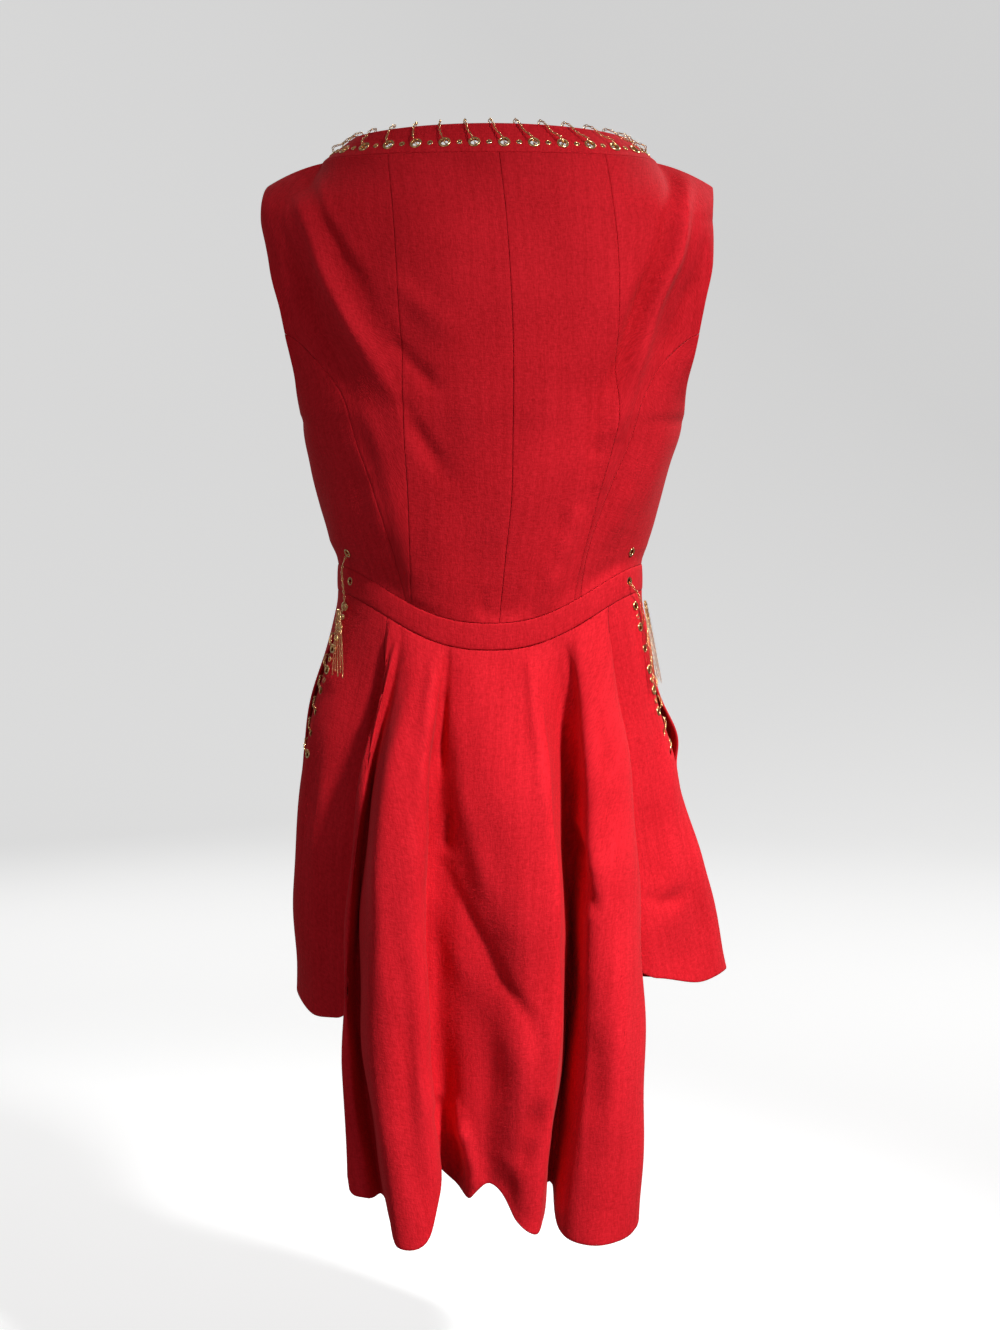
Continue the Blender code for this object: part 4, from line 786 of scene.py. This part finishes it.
# Materials
class Value:
    """A socket of one material's nodes, with Python's operators for its maths."""

    def __init__(self, maker, socket):
        self.maker = maker
        self.socket = socket

    def math(self, operation, *others, clamp=False):
        """A maths node on this value and the others."""
        return self.maker.node("ShaderNodeMath", dict(operation=operation, use_clamp=clamp),
                               dict(enumerate((self,) + others)))

    def __add__(self, other):
        return self.math("ADD", other)

    def __sub__(self, other):
        return self.math("SUBTRACT", other)

    def __mul__(self, other):
        return self.math("MULTIPLY", other)

    __radd__ = __add__
    __rmul__ = __mul__


class Finish:
    """One material, with a method that makes any node."""

    def __init__(self, name):
        self.material = bpy.data.materials.new(name)
        self.material.use_nodes = True
        self.tree = self.material.node_tree
        self.shader = self.tree.nodes["Principled BSDF"]

    def node(self, kind, settings=None, values=None, out=0):
        """A node with its settings and inputs, as the value of one of its outputs."""
        made = self.tree.nodes.new(kind)
        for key, value in (settings or {}).items():
            setattr(made, key, value)
        for key, value in (values or {}).items():
            self.feed(made.inputs[key], value)
        return Value(self, made.outputs[out])

    def feed(self, socket, value):
        """Links a value to a socket, or sets a plain number or colour on it."""
        if isinstance(value, Value):
            self.tree.links.new(value.socket, socket)
        else:
            socket.default_value = value

    def set(self, **values):
        """Feeds the shader's inputs, named with _ for each space."""
        for key, value in values.items():
            self.feed(self.shader.inputs[key.replace("_", " ")], value)

    def mix(self, share, first, second):
        """Colour between first and second by share."""
        return self.node("ShaderNodeMix", dict(data_type="RGBA"), {0: share, 6: first, 7: second}, out=2)


def noise(finish, vector, scale, detail=2.0, rough=0.5):
    """Cloudy noise from 0 to 1."""
    return finish.node("ShaderNodeTexNoise", None,
                       dict(Vector=vector, Scale=scale, Detail=detail, Roughness=rough))


def stretched(finish, vector, scale):
    """Coordinates multiplied by a scale for each axis."""
    return finish.node("ShaderNodeMapping", None, dict(Vector=vector, Scale=scale))


CLOTH_BODY = (0.46, 0.003, 0.008, 1.0)
CLOTH_LIGHT = (0.78, 0.014, 0.027, 1.0)
# painted seam shade: the darker red that the cloth is mixed towards beside each seam
CLOTH_SEAM_SHADE = (0.36, 0.003, 0.009, 1.0)


def crepe_cloth():
    """Heavy matt crepe: fine upright grain, a pebbled close weave, painted shade with a little wear along the
    seams, and painted light on crease crests with painted shade in the troughs.
    """
    finish = Finish("red crepe")
    uv = finish.node("ShaderNodeUVMap", dict(uv_map="weave"))
    coords = finish.node("ShaderNodeTexCoord", None, None, out=3)
    grain = noise(finish, stretched(finish, uv, (700.0, 190.0, 1.0)), 1.0, 3.0, 0.65)
    weft = noise(finish, stretched(finish, uv, (190.0, 620.0, 1.0)), 1.0, 3.0, 0.65)
    slub = noise(finish, stretched(finish, uv, (230.0, 12.0, 1.0)), 1.0, 2.0, 0.5)
    mottle = noise(finish, coords, 14.0, 3.0, 0.55)
    pebble = noise(finish, stretched(finish, uv, (1100.0, 900.0, 1.0)), 1.0, 2.0, 0.6)
    seam = finish.node("ShaderNodeAttribute", dict(attribute_name="seam"), None, out=2)
    crest_shade = finish.node("ShaderNodeAttribute", dict(attribute_name="crest_shade"), None, out=2)
    fleck = (grain - 0.5) * 1.4 + (weft - 0.5) * 1.0 + (slub - 0.5) * 0.6
    # painted light and shade: the kept crease height makes crests lighter and troughs darker
    share = fleck + (mottle - 0.5) * 0.6 + crest_shade * 0.03 + 0.5
    colour = finish.mix(share.math("MULTIPLY", 1.0, clamp=True), CLOTH_BODY, CLOTH_LIGHT)
    # painted shade with a little wear: the red darkens beside each seam, where the seam groove lies in shade
    colour = finish.mix(seam * 0.15, colour, CLOTH_SEAM_SHADE)
    finish.set(Base_Color=colour, Roughness=0.82 + 0.16 * (pebble - 0.5))
    finish.set(Sheen_Weight=0.10, Sheen_Roughness=0.45, Sheen_Tint=(1.0, 0.30, 0.28, 1.0))
    finish.set(Specular_IOR_Level=0.14)
    height = grain * 0.9 + weft * 0.7 + pebble * 0.6 + slub * 0.3
    bump = finish.node("ShaderNodeBump", None, dict(Strength=0.7, Distance=0.0005, Height=height))
    finish.set(Normal=bump)
    return finish.material


def brass_metal():
    """Polished yellow metal, softly uneven, a little darker and rougher in patches."""
    finish = Finish("bright brass")
    coords = finish.node("ShaderNodeTexCoord", None, None, out=3)
    cloud = noise(finish, coords, 90.0, 3.0, 0.6)
    scratch = noise(finish, coords, 1400.0, 2.0, 0.5)
    colour = finish.mix(cloud, (0.86, 0.50, 0.20, 1.0), (1.0, 0.70, 0.36, 1.0))
    finish.set(Base_Color=colour, Metallic=1.0, Roughness=0.16 + 0.16 * cloud)
    bump = finish.node("ShaderNodeBump", None, dict(Strength=0.15, Distance=0.0001, Height=scratch))
    finish.set(Normal=bump)
    return finish.material


CREPE = crepe_cloth()
BRASS = brass_metal()


# Metal
RING_PROFILE = ((1.0, 0.02), (0.94, 0.42), (0.76, 0.78), (0.49, 0.92), (0.22, 0.80), (0.05, 0.45),
                (0.0, 0.0), (0.0, -1.55), (0.12, -2.0), (0.44, -2.15), (0.78, -1.95), (0.88, -1.55),
                (0.17, -1.52), (0.17, -0.02))


def frames(normals):
    """Two directions at right angles to each normal."""
    guide = np.where(np.abs(normals[:, 2:]) < 0.9, np.array([[0.0, 0.0, 1.0]]), np.array([[1.0, 0.0, 0.0]]))
    first = unit(np.cross(guide, normals))
    return first, np.cross(normals, first)


def torus_faces(count, around, profile):
    """Faces of 'count' closed grids, each 'around' by 'profile' corners."""
    k, i, j = np.meshgrid(np.arange(count), np.arange(around), np.arange(profile), indexing="ij")
    after_i, after_j = (i + 1) % around, (j + 1) % profile

    def at(a, b):
        """The corner's number in its grid."""
        return (k * around + a) * profile + b

    return np.stack([at(i, j), at(after_i, j), at(after_i, after_j), at(i, after_j)], axis=-1).reshape(-1, 4)


def outward(vertices, faces, count):
    """Turns the faces so that the first closed form's volume is positive."""
    per = len(faces) // count
    a, b, c, d = (vertices[faces[:per, k]] for k in range(4))
    middle = vertices[np.unique(faces[:per])].mean(axis=0)
    volume = (((a + b + c + d) / 4 - middle) * np.cross(c - a, d - b)).sum()
    return faces if volume > 0 else faces[:, ::-1]


def eyelets(name, sizes, spots, nodes, segments=24):
    """Rolled rings: the profile turned about each spot's normal, joined into one mesh."""
    centres = np.array([spot[0] for spot in spots])
    normals = unit(np.array([spot[1] for spot in spots]))
    first, second = frames(normals)
    profile = np.array(RING_PROFILE)
    depth = (sizes["outer"] - sizes["inner"]) / (LARGE_RING["outer"] - LARGE_RING["inner"])
    radius = sizes["inner"] + (sizes["outer"] - sizes["inner"]) * profile[:, 0]
    height = np.where(profile[:, 1] > 0, profile[:, 1] * depth, profile[:, 1])
    turn = np.linspace(0, 2 * math.pi, segments, endpoint=False)
    spoke = (np.cos(turn)[None, :, None] * first[:, None] + np.sin(turn)[None, :, None] * second[:, None])
    vertices = (centres[:, None, None] + spoke[:, :, None] * radius[:, None]
                + normals[:, None, None] * height[:, None])
    faces = torus_faces(len(centres), segments, len(profile))
    vertices = vertices.reshape(-1, 3)
    return metal(build_mesh(name, vertices, outward(vertices, faces, len(centres)), BRASS), nodes)


def metal(made, nodes=()):
    """States a metal piece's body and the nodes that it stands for."""
    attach(made, "root")
    if nodes:
        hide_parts(*nodes)
    return made


def link_chain(lines, closed=False, size=LINK):
    """Oval links along each line, every second one turned a quarter round it."""
    pitch = 2 * (size["long"] - size["wire"]) * 0.98
    vertices = []
    for line in lines:
        smooth = smooth_line(line, len(line) * 12)
        run = run_along(smooth)
        count = max(2, int(round(run[-1] / pitch)))
        count += count % 2 if closed else 0
        at = (np.arange(count) + 0.5) / count * run[-1]

        def spot(along):
            """Points at running lengths along the line."""
            along = np.mod(along, run[-1]) if closed else np.clip(along, 0, run[-1])
            return np.stack([np.interp(along, run, smooth[:, k]) for k in range(3)], axis=-1)

        ahead = unit(spot(at + 0.7) - spot(at - 0.7))
        side = unit(np.cross(ahead, np.array([0.31, 0.27, 0.91])))
        over = np.cross(ahead, side)
        tilt = math.pi / 4 + math.pi / 2 * (np.arange(count) % 2)
        wide = side * np.cos(tilt)[:, None] + over * np.sin(tilt)[:, None]
        flat = np.cross(ahead, wide)
        turn = np.linspace(0, 2 * math.pi, size["turns"], endpoint=False)
        cross = np.linspace(0, 2 * math.pi, size["sides"], endpoint=False) + 0.4
        half, width = size["long"] - size["wire"], size["wide"] - size["wire"]
        out_long, out_wide = np.cos(turn) / half, np.sin(turn) / width
        norm = np.hypot(out_long, out_wide)
        bulge = size["wire"] * np.cos(cross)
        long_part = (half * np.cos(turn))[:, None] + bulge * (out_long / norm)[:, None]
        wide_part = (width * np.sin(turn))[:, None] + bulge * (out_wide / norm)[:, None]
        up_part = np.broadcast_to(size["wire"] * np.sin(cross), long_part.shape)
        vertices.append(spot(at)[:, None, None] + ahead[:, None, None] * long_part[..., None]
                        + wide[:, None, None] * wide_part[..., None]
                        + flat[:, None, None] * up_part[..., None])
    vertices = np.concatenate(vertices)
    faces = torus_faces(len(vertices), size["turns"], size["sides"])
    vertices, links = vertices.reshape(-1, 3), len(vertices)
    return vertices, outward(vertices, faces, links)


# Cloth pieces
def waist_spot(side, name):
    """The place and normal of a waist eyelet in the bodice or the band."""
    x, drop = WAIST_EYELETS[name]
    across = body_across(-1, (-1.0 if side == "left" else 1.0) * x, drop)[0]
    return body_point(-1, across, drop), body_normal(-1, across, drop)


def edge_spots(side, shift=0.0):
    """The eyelets' places and normals along a pocket edge, or with a shift those between them."""
    return [slit_point(side, HIP_EYELET_FIRST - (k + shift) * HIP_EYELET_PITCH, HIP_EYELET_INBOARD)
            for k in range(HIP_EYELETS if shift == 0 else HIP_EYELETS - 1)]


def back_panel(name, left, right, first, holes=(), spots=()):
    """A back panel: its columns lie at fixed shares between its two seams or edges."""
    drop = first + places(WAIST_TOP - first, 3.4, spots)
    sides = []
    for seam in (left, right):
        if seam not in BACK_SEAMS:
            sides.append(np.full(len(drop), float(seam)))
            continue
        start = BACK_SEAMS[seam][0][0]
        found = seam_across(seam, np.maximum(drop, start))
        if start > 1:
            edge = -1.0 if "left" in seam else 1.0
            from_join = np.clip((drop - ARMHOLE_JOIN) / (UNDERARM_TOP - ARMHOLE_JOIN), 0, 1)
            found = edge * (1 - from_join) + found * from_join
        sides.append(found)
    lines = body_point(-1, np.stack(sides, axis=1), drop[:, None])
    wide = np.linalg.norm(lines[:, 1] - lines[:, 0], axis=1).max() * 1.05
    part = places(wide, 1.6 if holes else 3.0) / wide
    across = sides[0][:, None] * (1 - part) + sides[1][:, None] * part
    grid = np.broadcast_to(drop[:, None], across.shape)
    if first == UNDERARM_TOP:
        # the top edge slants up to where the side seam leaves the armhole
        from_armhole = part if sides[0][0] == -1 else 1 - part
        rise = (UNDERARM_TOP - ARMHOLE_JOIN) * (1 - from_armhole)
        grid = grid - rise * np.clip(1 - (grid - first) / 20, 0, 1)
    base, like = body_point(-1, across, grid), body_normal(-1, across, grid)
    kinds = ("seam", "seam", "edge" if sides[0][0] == -1 else "seam", "edge" if sides[1][0] == 1 else "seam")
    shell(name, base, like, kinds, holes=holes, fade_top=10.0, fade_low=8.0)


back_panel("back_centre_left", "princess_left", "centre", 0.0)
back_panel("back_centre_right", "centre", "princess_right", 0.0)
back_panel("back_side_left", "side_left", "princess_left", 0.0)
back_panel("back_side_right", "princess_right", "side_right", 0.0)
bodice_drop = WAIST_EYELETS["bodice"][1] - UNDERARM_TOP
for side_name, left_side, right_side in (("left", -1, "side_left"), ("right", "side_right", 1)):
    spot_place, spot_normal = waist_spot(side_name, "bodice")
    back_panel("back_underarm_" + side_name, left_side, right_side, UNDERARM_TOP,
               holes=[(spot_place, spot_normal, HIP_RING["hole"])], spots=(bodice_drop,))


def front_panel():
    """The front bodice in one piece, shaped to the bust by its darts."""
    drop = places(WAIST_TOP, 3.6)
    across = places(FRONT_RUN, 3.6) / (FRONT_RUN / 2) - 1
    across, drop = np.meshgrid(across, drop)
    base, like = body_point(1, across, drop), body_normal(1, across, drop)
    kinds = ("seam", "seam", "edge", "edge")
    shell("front_bodice", base, like, kinds, fade_top=10.0, fade_low=8.0)


front_panel()


def waistband(name, facing, holes=(), spots=()):
    """Half of the waistband, slightly crowned between its two seams."""
    across = places(BAND_RUN, 3.2, spots) / BAND_RUN * 2 - 1
    drop = WAIST_TOP + places(WAIST_LOW - WAIST_TOP, 1.4)
    across, drop = np.meshgrid(across, drop)
    base, like = body_point(facing, across, drop), body_normal(facing, across, drop)
    share = (drop - WAIST_TOP) / (WAIST_LOW - WAIST_TOP)
    base = base + like * (0.7 * np.sin(math.pi * share) ** 0.5)[..., None]
    shell(name, base, like, ("seam",) * 4, lift=False, holes=holes)


band_spots = {side: waist_spot(side, "band") for side in ("left", "right")}
band_x, band_drop = WAIST_EYELETS["band"]
band_places = [(body_across(-1, sign * band_x, band_drop)[0] + 1) / 2 * BAND_RUN for sign in (-1.0, 1.0)]
waistband("waistband_back", -1, [(*spot, HIP_RING["hole"]) for spot in band_spots.values()], band_places)
waistband("waistband_front", 1)

# Neckband and its eyelets: large ones at the half steps and small ones between them
large_spots = [neck_spot(k + 0.5, NECK_EYELET_HEIGHT, 0.0) for k in range(NECK_EYELETS)]
small_spots = [neck_spot(k, NECK_EYELET_HEIGHT, 0.0) for k in range(NECK_EYELETS)
               if k not in (0, NECK_EYELETS // 2)]


def neckband(name, facing):
    """Half of the neckband: a straight ruled strip from the neck seam to the turned neck edge."""
    turn = places(NECK_RUN, 1.05) / NECK_RUN * 180 - 90
    angle = turn if facing < 0 else 180 - turn
    height = 1 - places(NECK_RISE, 1.05) / NECK_RISE
    angle, height = np.meshgrid(angle, height)
    base, like = neckband_point(angle, height), neckband_normal(angle, height)
    holes = [(*spot, ring["hole"]) for ring, spots in ((LARGE_RING, large_spots), (SMALL_RING, small_spots))
             for spot in spots if (spot[0][1] >= 0) == (facing > 0)]
    shell(name, base, like, ("edge", "seam", "seam", "seam"), lift=False, holes=holes)


neckband("neckband_back", -1)
neckband("neckband_front", 1)
eyelets("neck_eyelets_large", LARGE_RING, large_spots,
        [f"neck_eyelet_{k + 1:02d}" for k in range(NECK_EYELETS)])
eyelets("neck_eyelets_small", SMALL_RING, small_spots, (), segments=16)


def skirt_line(first, last, between, inner):
    """Fine places from one rib to another, and the coarse column number of each."""
    start, end = RIB_NAMES.index(first), RIB_NAMES.index(last)
    end = end if end > start else end + len(RIB_NAMES)
    spots = [RIB_PLACES[k % len(RIB_NAMES)] + TURN * (k // len(RIB_NAMES)) for k in range(start, end + 1)]
    number = np.arange(len(spots)) * between
    fine = np.linspace(0, number[-1], (len(spots) - 1) * inner + 1)
    near = np.array((0.03, 0.07, 0.13)) * between / 3
    fine = np.unique(np.round(np.concatenate([fine, near, number[-1] - near]), 5))
    return np.interp(fine, number, spots), fine


def skirt_piece(name, first, last, between, inner, rows, holes=(), fine_side=None, spots=()):
    """One skirt piece between two ribs, hung from the waistband, its hem turned up."""
    place, number = skirt_line(first, last, between, inner)
    length = SKIRT_RUN[name]
    fall = places(length, length / rows, spots) / length
    if fine_side:
        # closer columns beside the eyelets of the pocket edge
        edge = number[-1] if fine_side == "end" else 0.0
        close = np.linspace(0, 1.35, 15)
        close = edge - close if fine_side == "end" else close
        far = np.abs(number - edge) > 1.4
        number = np.unique(np.round(np.concatenate([number[far], close, [0.0, number[-1]]]), 5))
        coarse, coarse_number = skirt_line(first, last, between, between)
        place = np.interp(number, coarse_number, coarse)
    base = skirt_point(place, fall)
    shift = waist_points(place) - base[0]
    base = base + shift * np.clip(1 - fall / 0.06, 0, 1)[:, None, None] ** 2
    like = skirt_normal(place, np.maximum(fall, 0.004))
    if name == "skirt_front":
        base = slit_gape(base, number, "right")
        base = slit_gape(base, number[-1] - number, "left")
    shell(name, base, like, ("seam", "edge", "seam", "seam"), holes=holes, fade_top=14.0)


skirt_piece("skirt_back", "tuck_left", "tuck_right", 2, 8, 140)
slit_holes = {}
small_hips = {}
for side_name in ("left", "right"):
    slit_holes[side_name] = [(*spot, HIP_RING["hole"]) for spot in edge_spots(side_name)]
    small_hips[side_name] = edge_spots(side_name, 0.5)
hip_falls = [(-HIP_EYELET_FIRST + k * HIP_EYELET_PITCH / 2 - 360.0) / 345.0 * 350.0
             for k in range(2 * HIP_EYELETS - 1)]
skirt_piece("skirt_side_right", "tuck_right", "slit_right", 3, 12, 100,
            holes=slit_holes["right"], fine_side="end", spots=hip_falls)
skirt_piece("skirt_front", "slit_right", "slit_left", 3, 15, 100)
skirt_piece("skirt_side_left", "slit_left", "tuck_left", 3, 12, 100,
            holes=slit_holes["left"], fine_side="start", spots=hip_falls)


def pocket_backing(side):
    """The strip of pocket cloth behind the slit: a parabola through three points at each height."""
    heights = np.linspace(SLIT_TOP - 2, SLIT_END - 4, BACKING_ROWS)
    u = np.linspace(0, 1, BACKING_COLUMNS)[:, None]
    rows, likes = [], []
    for z in heights:
        start, first = slit_point(side, z, BACKING_HALF, BACKING_EDGE)
        middle, centre = slit_point(side, z, 0.0, BACKING_MIDDLE)
        end, last = slit_point(side, z, -BACKING_HALF, BACKING_EDGE)
        rows.append(start * (1 - u) * (1 - 2 * u) + middle * 4 * u * (1 - u) - end * u * (1 - 2 * u))
        likes.append(np.repeat(unit(first + centre + last)[None], len(u), axis=0))
    shell("pocket_backing_" + side, np.array(rows), np.array(likes), ("edge",) * 4, lift=False)


def hip_route(side):
    """The hip chain's places: out of its waist eyelet, down, then round the pocket edge."""
    start = waist_spot(side, "bodice" if side == "left" else "band")
    low = np.array([0.0, 0.0, -1.7])
    route = [start[0] - start[1] * 3.2 + low, start[0] + start[1] * 0.9 + low,
             start[0] + start[1] * 3.6 + np.array([0.0, 0.0, -4.5])]
    for z, inboard, out in HANG[side]:
        point, normal = slit_point(side, z, inboard)
        route.append(point + normal * out)
    for k in range(1, HIP_EYELETS):
        for along, inboard, out in (EDGE_STITCH if k < HIP_EYELETS - 1 else EDGE_STITCH[:3]):
            point, normal = slit_point(side, HIP_EYELET_FIRST - k * HIP_EYELET_PITCH + along, inboard)
            route.append(point + normal * out)
    return route


def tassel_lines(side):
    """Five chain ends side by side from the head to their uneven ends, each slightly wavy."""
    form = dict(zip(TASSEL_COLUMNS, TASSELS[side]))
    point, normal = slit_point(side, form["head_z"], form["head_inboard"])
    beside = slit_point(side, form["head_z"], form["head_inboard"] + 3.0)[0]
    across = unit((beside - point) * np.array([1.0, 1.0, 0.0]))
    head = point + normal * form["head_out"]
    lines = []
    for k in range(TASSEL_STRANDS):
        offset = (k - (TASSEL_STRANDS - 1) / 2) * TASSEL_PITCH * TASSEL_CLOSE
        top = head + across * offset * 0.45 + np.array([0.0, 0.0, 3.0])
        foot, foot_normal = slit_point(side, form["end_z"], form["end_inboard"] + offset * 1.1)
        end = foot + foot_normal * form["end_out"]
        end = top + (end - top) * (1.0 if k % 2 == 0 else 0.94)
        share = np.linspace(0, 1, 7)[:, None]
        line = top + (end - top) * share
        line += across * offset * 0.55 * np.sin(math.pi * np.minimum(share * 1.4, 1) / 2)
        line += across * 0.5 * np.sin(5.0 * share + k) * share
        lines.append(line)
    return lines


neck_route = [neck_spot(k - 0.5 + along / NECK_PITCH, height, out)[0]
              for k in range(NECK_EYELETS, 0, -1) for along, height, out in NECK_STITCH]
metal(build_mesh("neck_chain_links", *link_chain([neck_route + neck_route[:1]], closed=True), BRASS),
      ["neck_chain"])
for side_name in ("left", "right"):
    pocket_backing(side_name)
    worn = edge_spots(side_name)
    waist = [waist_spot(side_name, "bodice"), waist_spot(side_name, "band")]
    eyelets("hip_eyelets_" + side_name, HIP_RING, worn + waist,
            ["waist_eyelet_" + side_name, "hip_eyelet_" + side_name])
    eyelets("hip_eyelets_small_" + side_name, SMALL_RING, small_hips[side_name], (), segments=16)
    metal(build_mesh("hip_chain_links_" + side_name, *link_chain([hip_route(side_name)]), BRASS),
          ["hip_chain_" + side_name])
    strands = link_chain(tassel_lines(side_name), size=TASSEL_LINK)
    metal(build_mesh("hip_tassel_links_" + side_name, *strands, BRASS), ["hip_tassel_" + side_name])


# Floor, light and camera
FLOOR_Z = -1.16
FLOOR_RADIUS = 3.0
FLOOR_GLOW = 0.5
WHITE = (1.0, 1.0, 1.0, 1.0)
WORLD_GLOW = 0.14
LIGHT_COLUMNS = ("name", "place", "power", "size", "spread", "aim_z")
LIGHTS = (
    ("key", (1.30, -1.42, 1.55), 4.4, 0.3, 32, -0.98),
    ("fill", (-1.7, -2.2, 0.0), 6.5, 1.4, 180, -0.4),
    ("behind", (-1.0, 2.4, 0.4), 9.0, 1.5, 180, -0.4),
    ("front", (1.8, 1.9, 1.3), 34.0, 0.5, 180, -0.4),
)


def studio():
    """A pale floor that curves up into a wall all round, a key light on the right and three soft ones."""
    bend = np.linspace(0, math.pi / 2, 14)
    radius = np.concatenate([np.linspace(0.001, FLOOR_RADIUS, 23), FLOOR_RADIUS + np.sin(bend[1:]),
                             np.full(10, FLOOR_RADIUS + 1)])
    rise = np.concatenate([np.zeros(23), 1 - np.cos(bend[1:]), np.linspace(1.3, 5.0, 10)]) + FLOOR_Z
    turn = np.linspace(0, 2 * math.pi, 73)
    turn, radius = np.meshgrid(turn, radius)
    x, y = radius * np.cos(turn), radius * np.sin(turn)
    z = np.broadcast_to(rise[:, None], x.shape)
    vertices = np.stack([x, y, z], axis=-1).reshape(-1, 3) / MM
    index = np.arange(x.size).reshape(x.shape)
    faces = np.stack([index[:-1, :-1], index[1:, :-1], index[1:, 1:], index[:-1, 1:]], axis=-1).reshape(-1, 4)
    finish = Finish("pale floor")
    coords = finish.node("ShaderNodeTexCoord", None, None, out=3)
    colour = finish.mix(noise(finish, coords, 3.0), (0.86, 0.86, 0.855, 1.0), (0.89, 0.89, 0.885, 1.0))
    finish.set(Base_Color=colour, Roughness=0.9)
    finish.set(Emission_Color=WHITE, Emission_Strength=FLOOR_GLOW)
    floor = build_mesh("floor", vertices, faces, finish.material)
    floor.visible_diffuse = False
    floor.visible_glossy = False
    world = bpy.data.worlds.new("studio")
    world.use_nodes = True
    world.node_tree.nodes["Background"].inputs[0].default_value = WHITE
    world.node_tree.nodes["Background"].inputs[1].default_value = WORLD_GLOW
    bpy.context.scene.world = world
    for values in LIGHTS:
        row = dict(zip(LIGHT_COLUMNS, values))
        light = bpy.data.lights.new(row["name"], "AREA")
        light.energy = row["power"]
        light.size = row["size"]
        light.spread = math.radians(row["spread"])
        lamp = bpy.data.objects.new(row["name"], light)
        lamp.location = row["place"]
        toward = np.array((0.0, 0.0, row["aim_z"])) - np.array(row["place"])
        lamp.rotation_euler = (math.atan2(math.hypot(toward[0], toward[1]), -toward[2]), 0.0,
                               math.atan2(toward[0], -toward[1]) + math.pi)
        bpy.context.scene.collection.objects.link(lamp)


studio()
camera = bpy.data.objects.new("camera", bpy.data.cameras.new("camera"))
camera.data.lens = FOCAL_PIXELS / LONG_SIDE * SENSOR
camera.data.sensor_width = SENSOR
camera.location = CAMERA_PLACE
camera.rotation_euler = (math.radians(90 - CAMERA_TILT), 0.0, 0.0)
bpy.context.scene.collection.objects.link(camera)
bpy.context.scene.camera = camera
bpy.context.scene.view_settings.view_transform = "Standard"
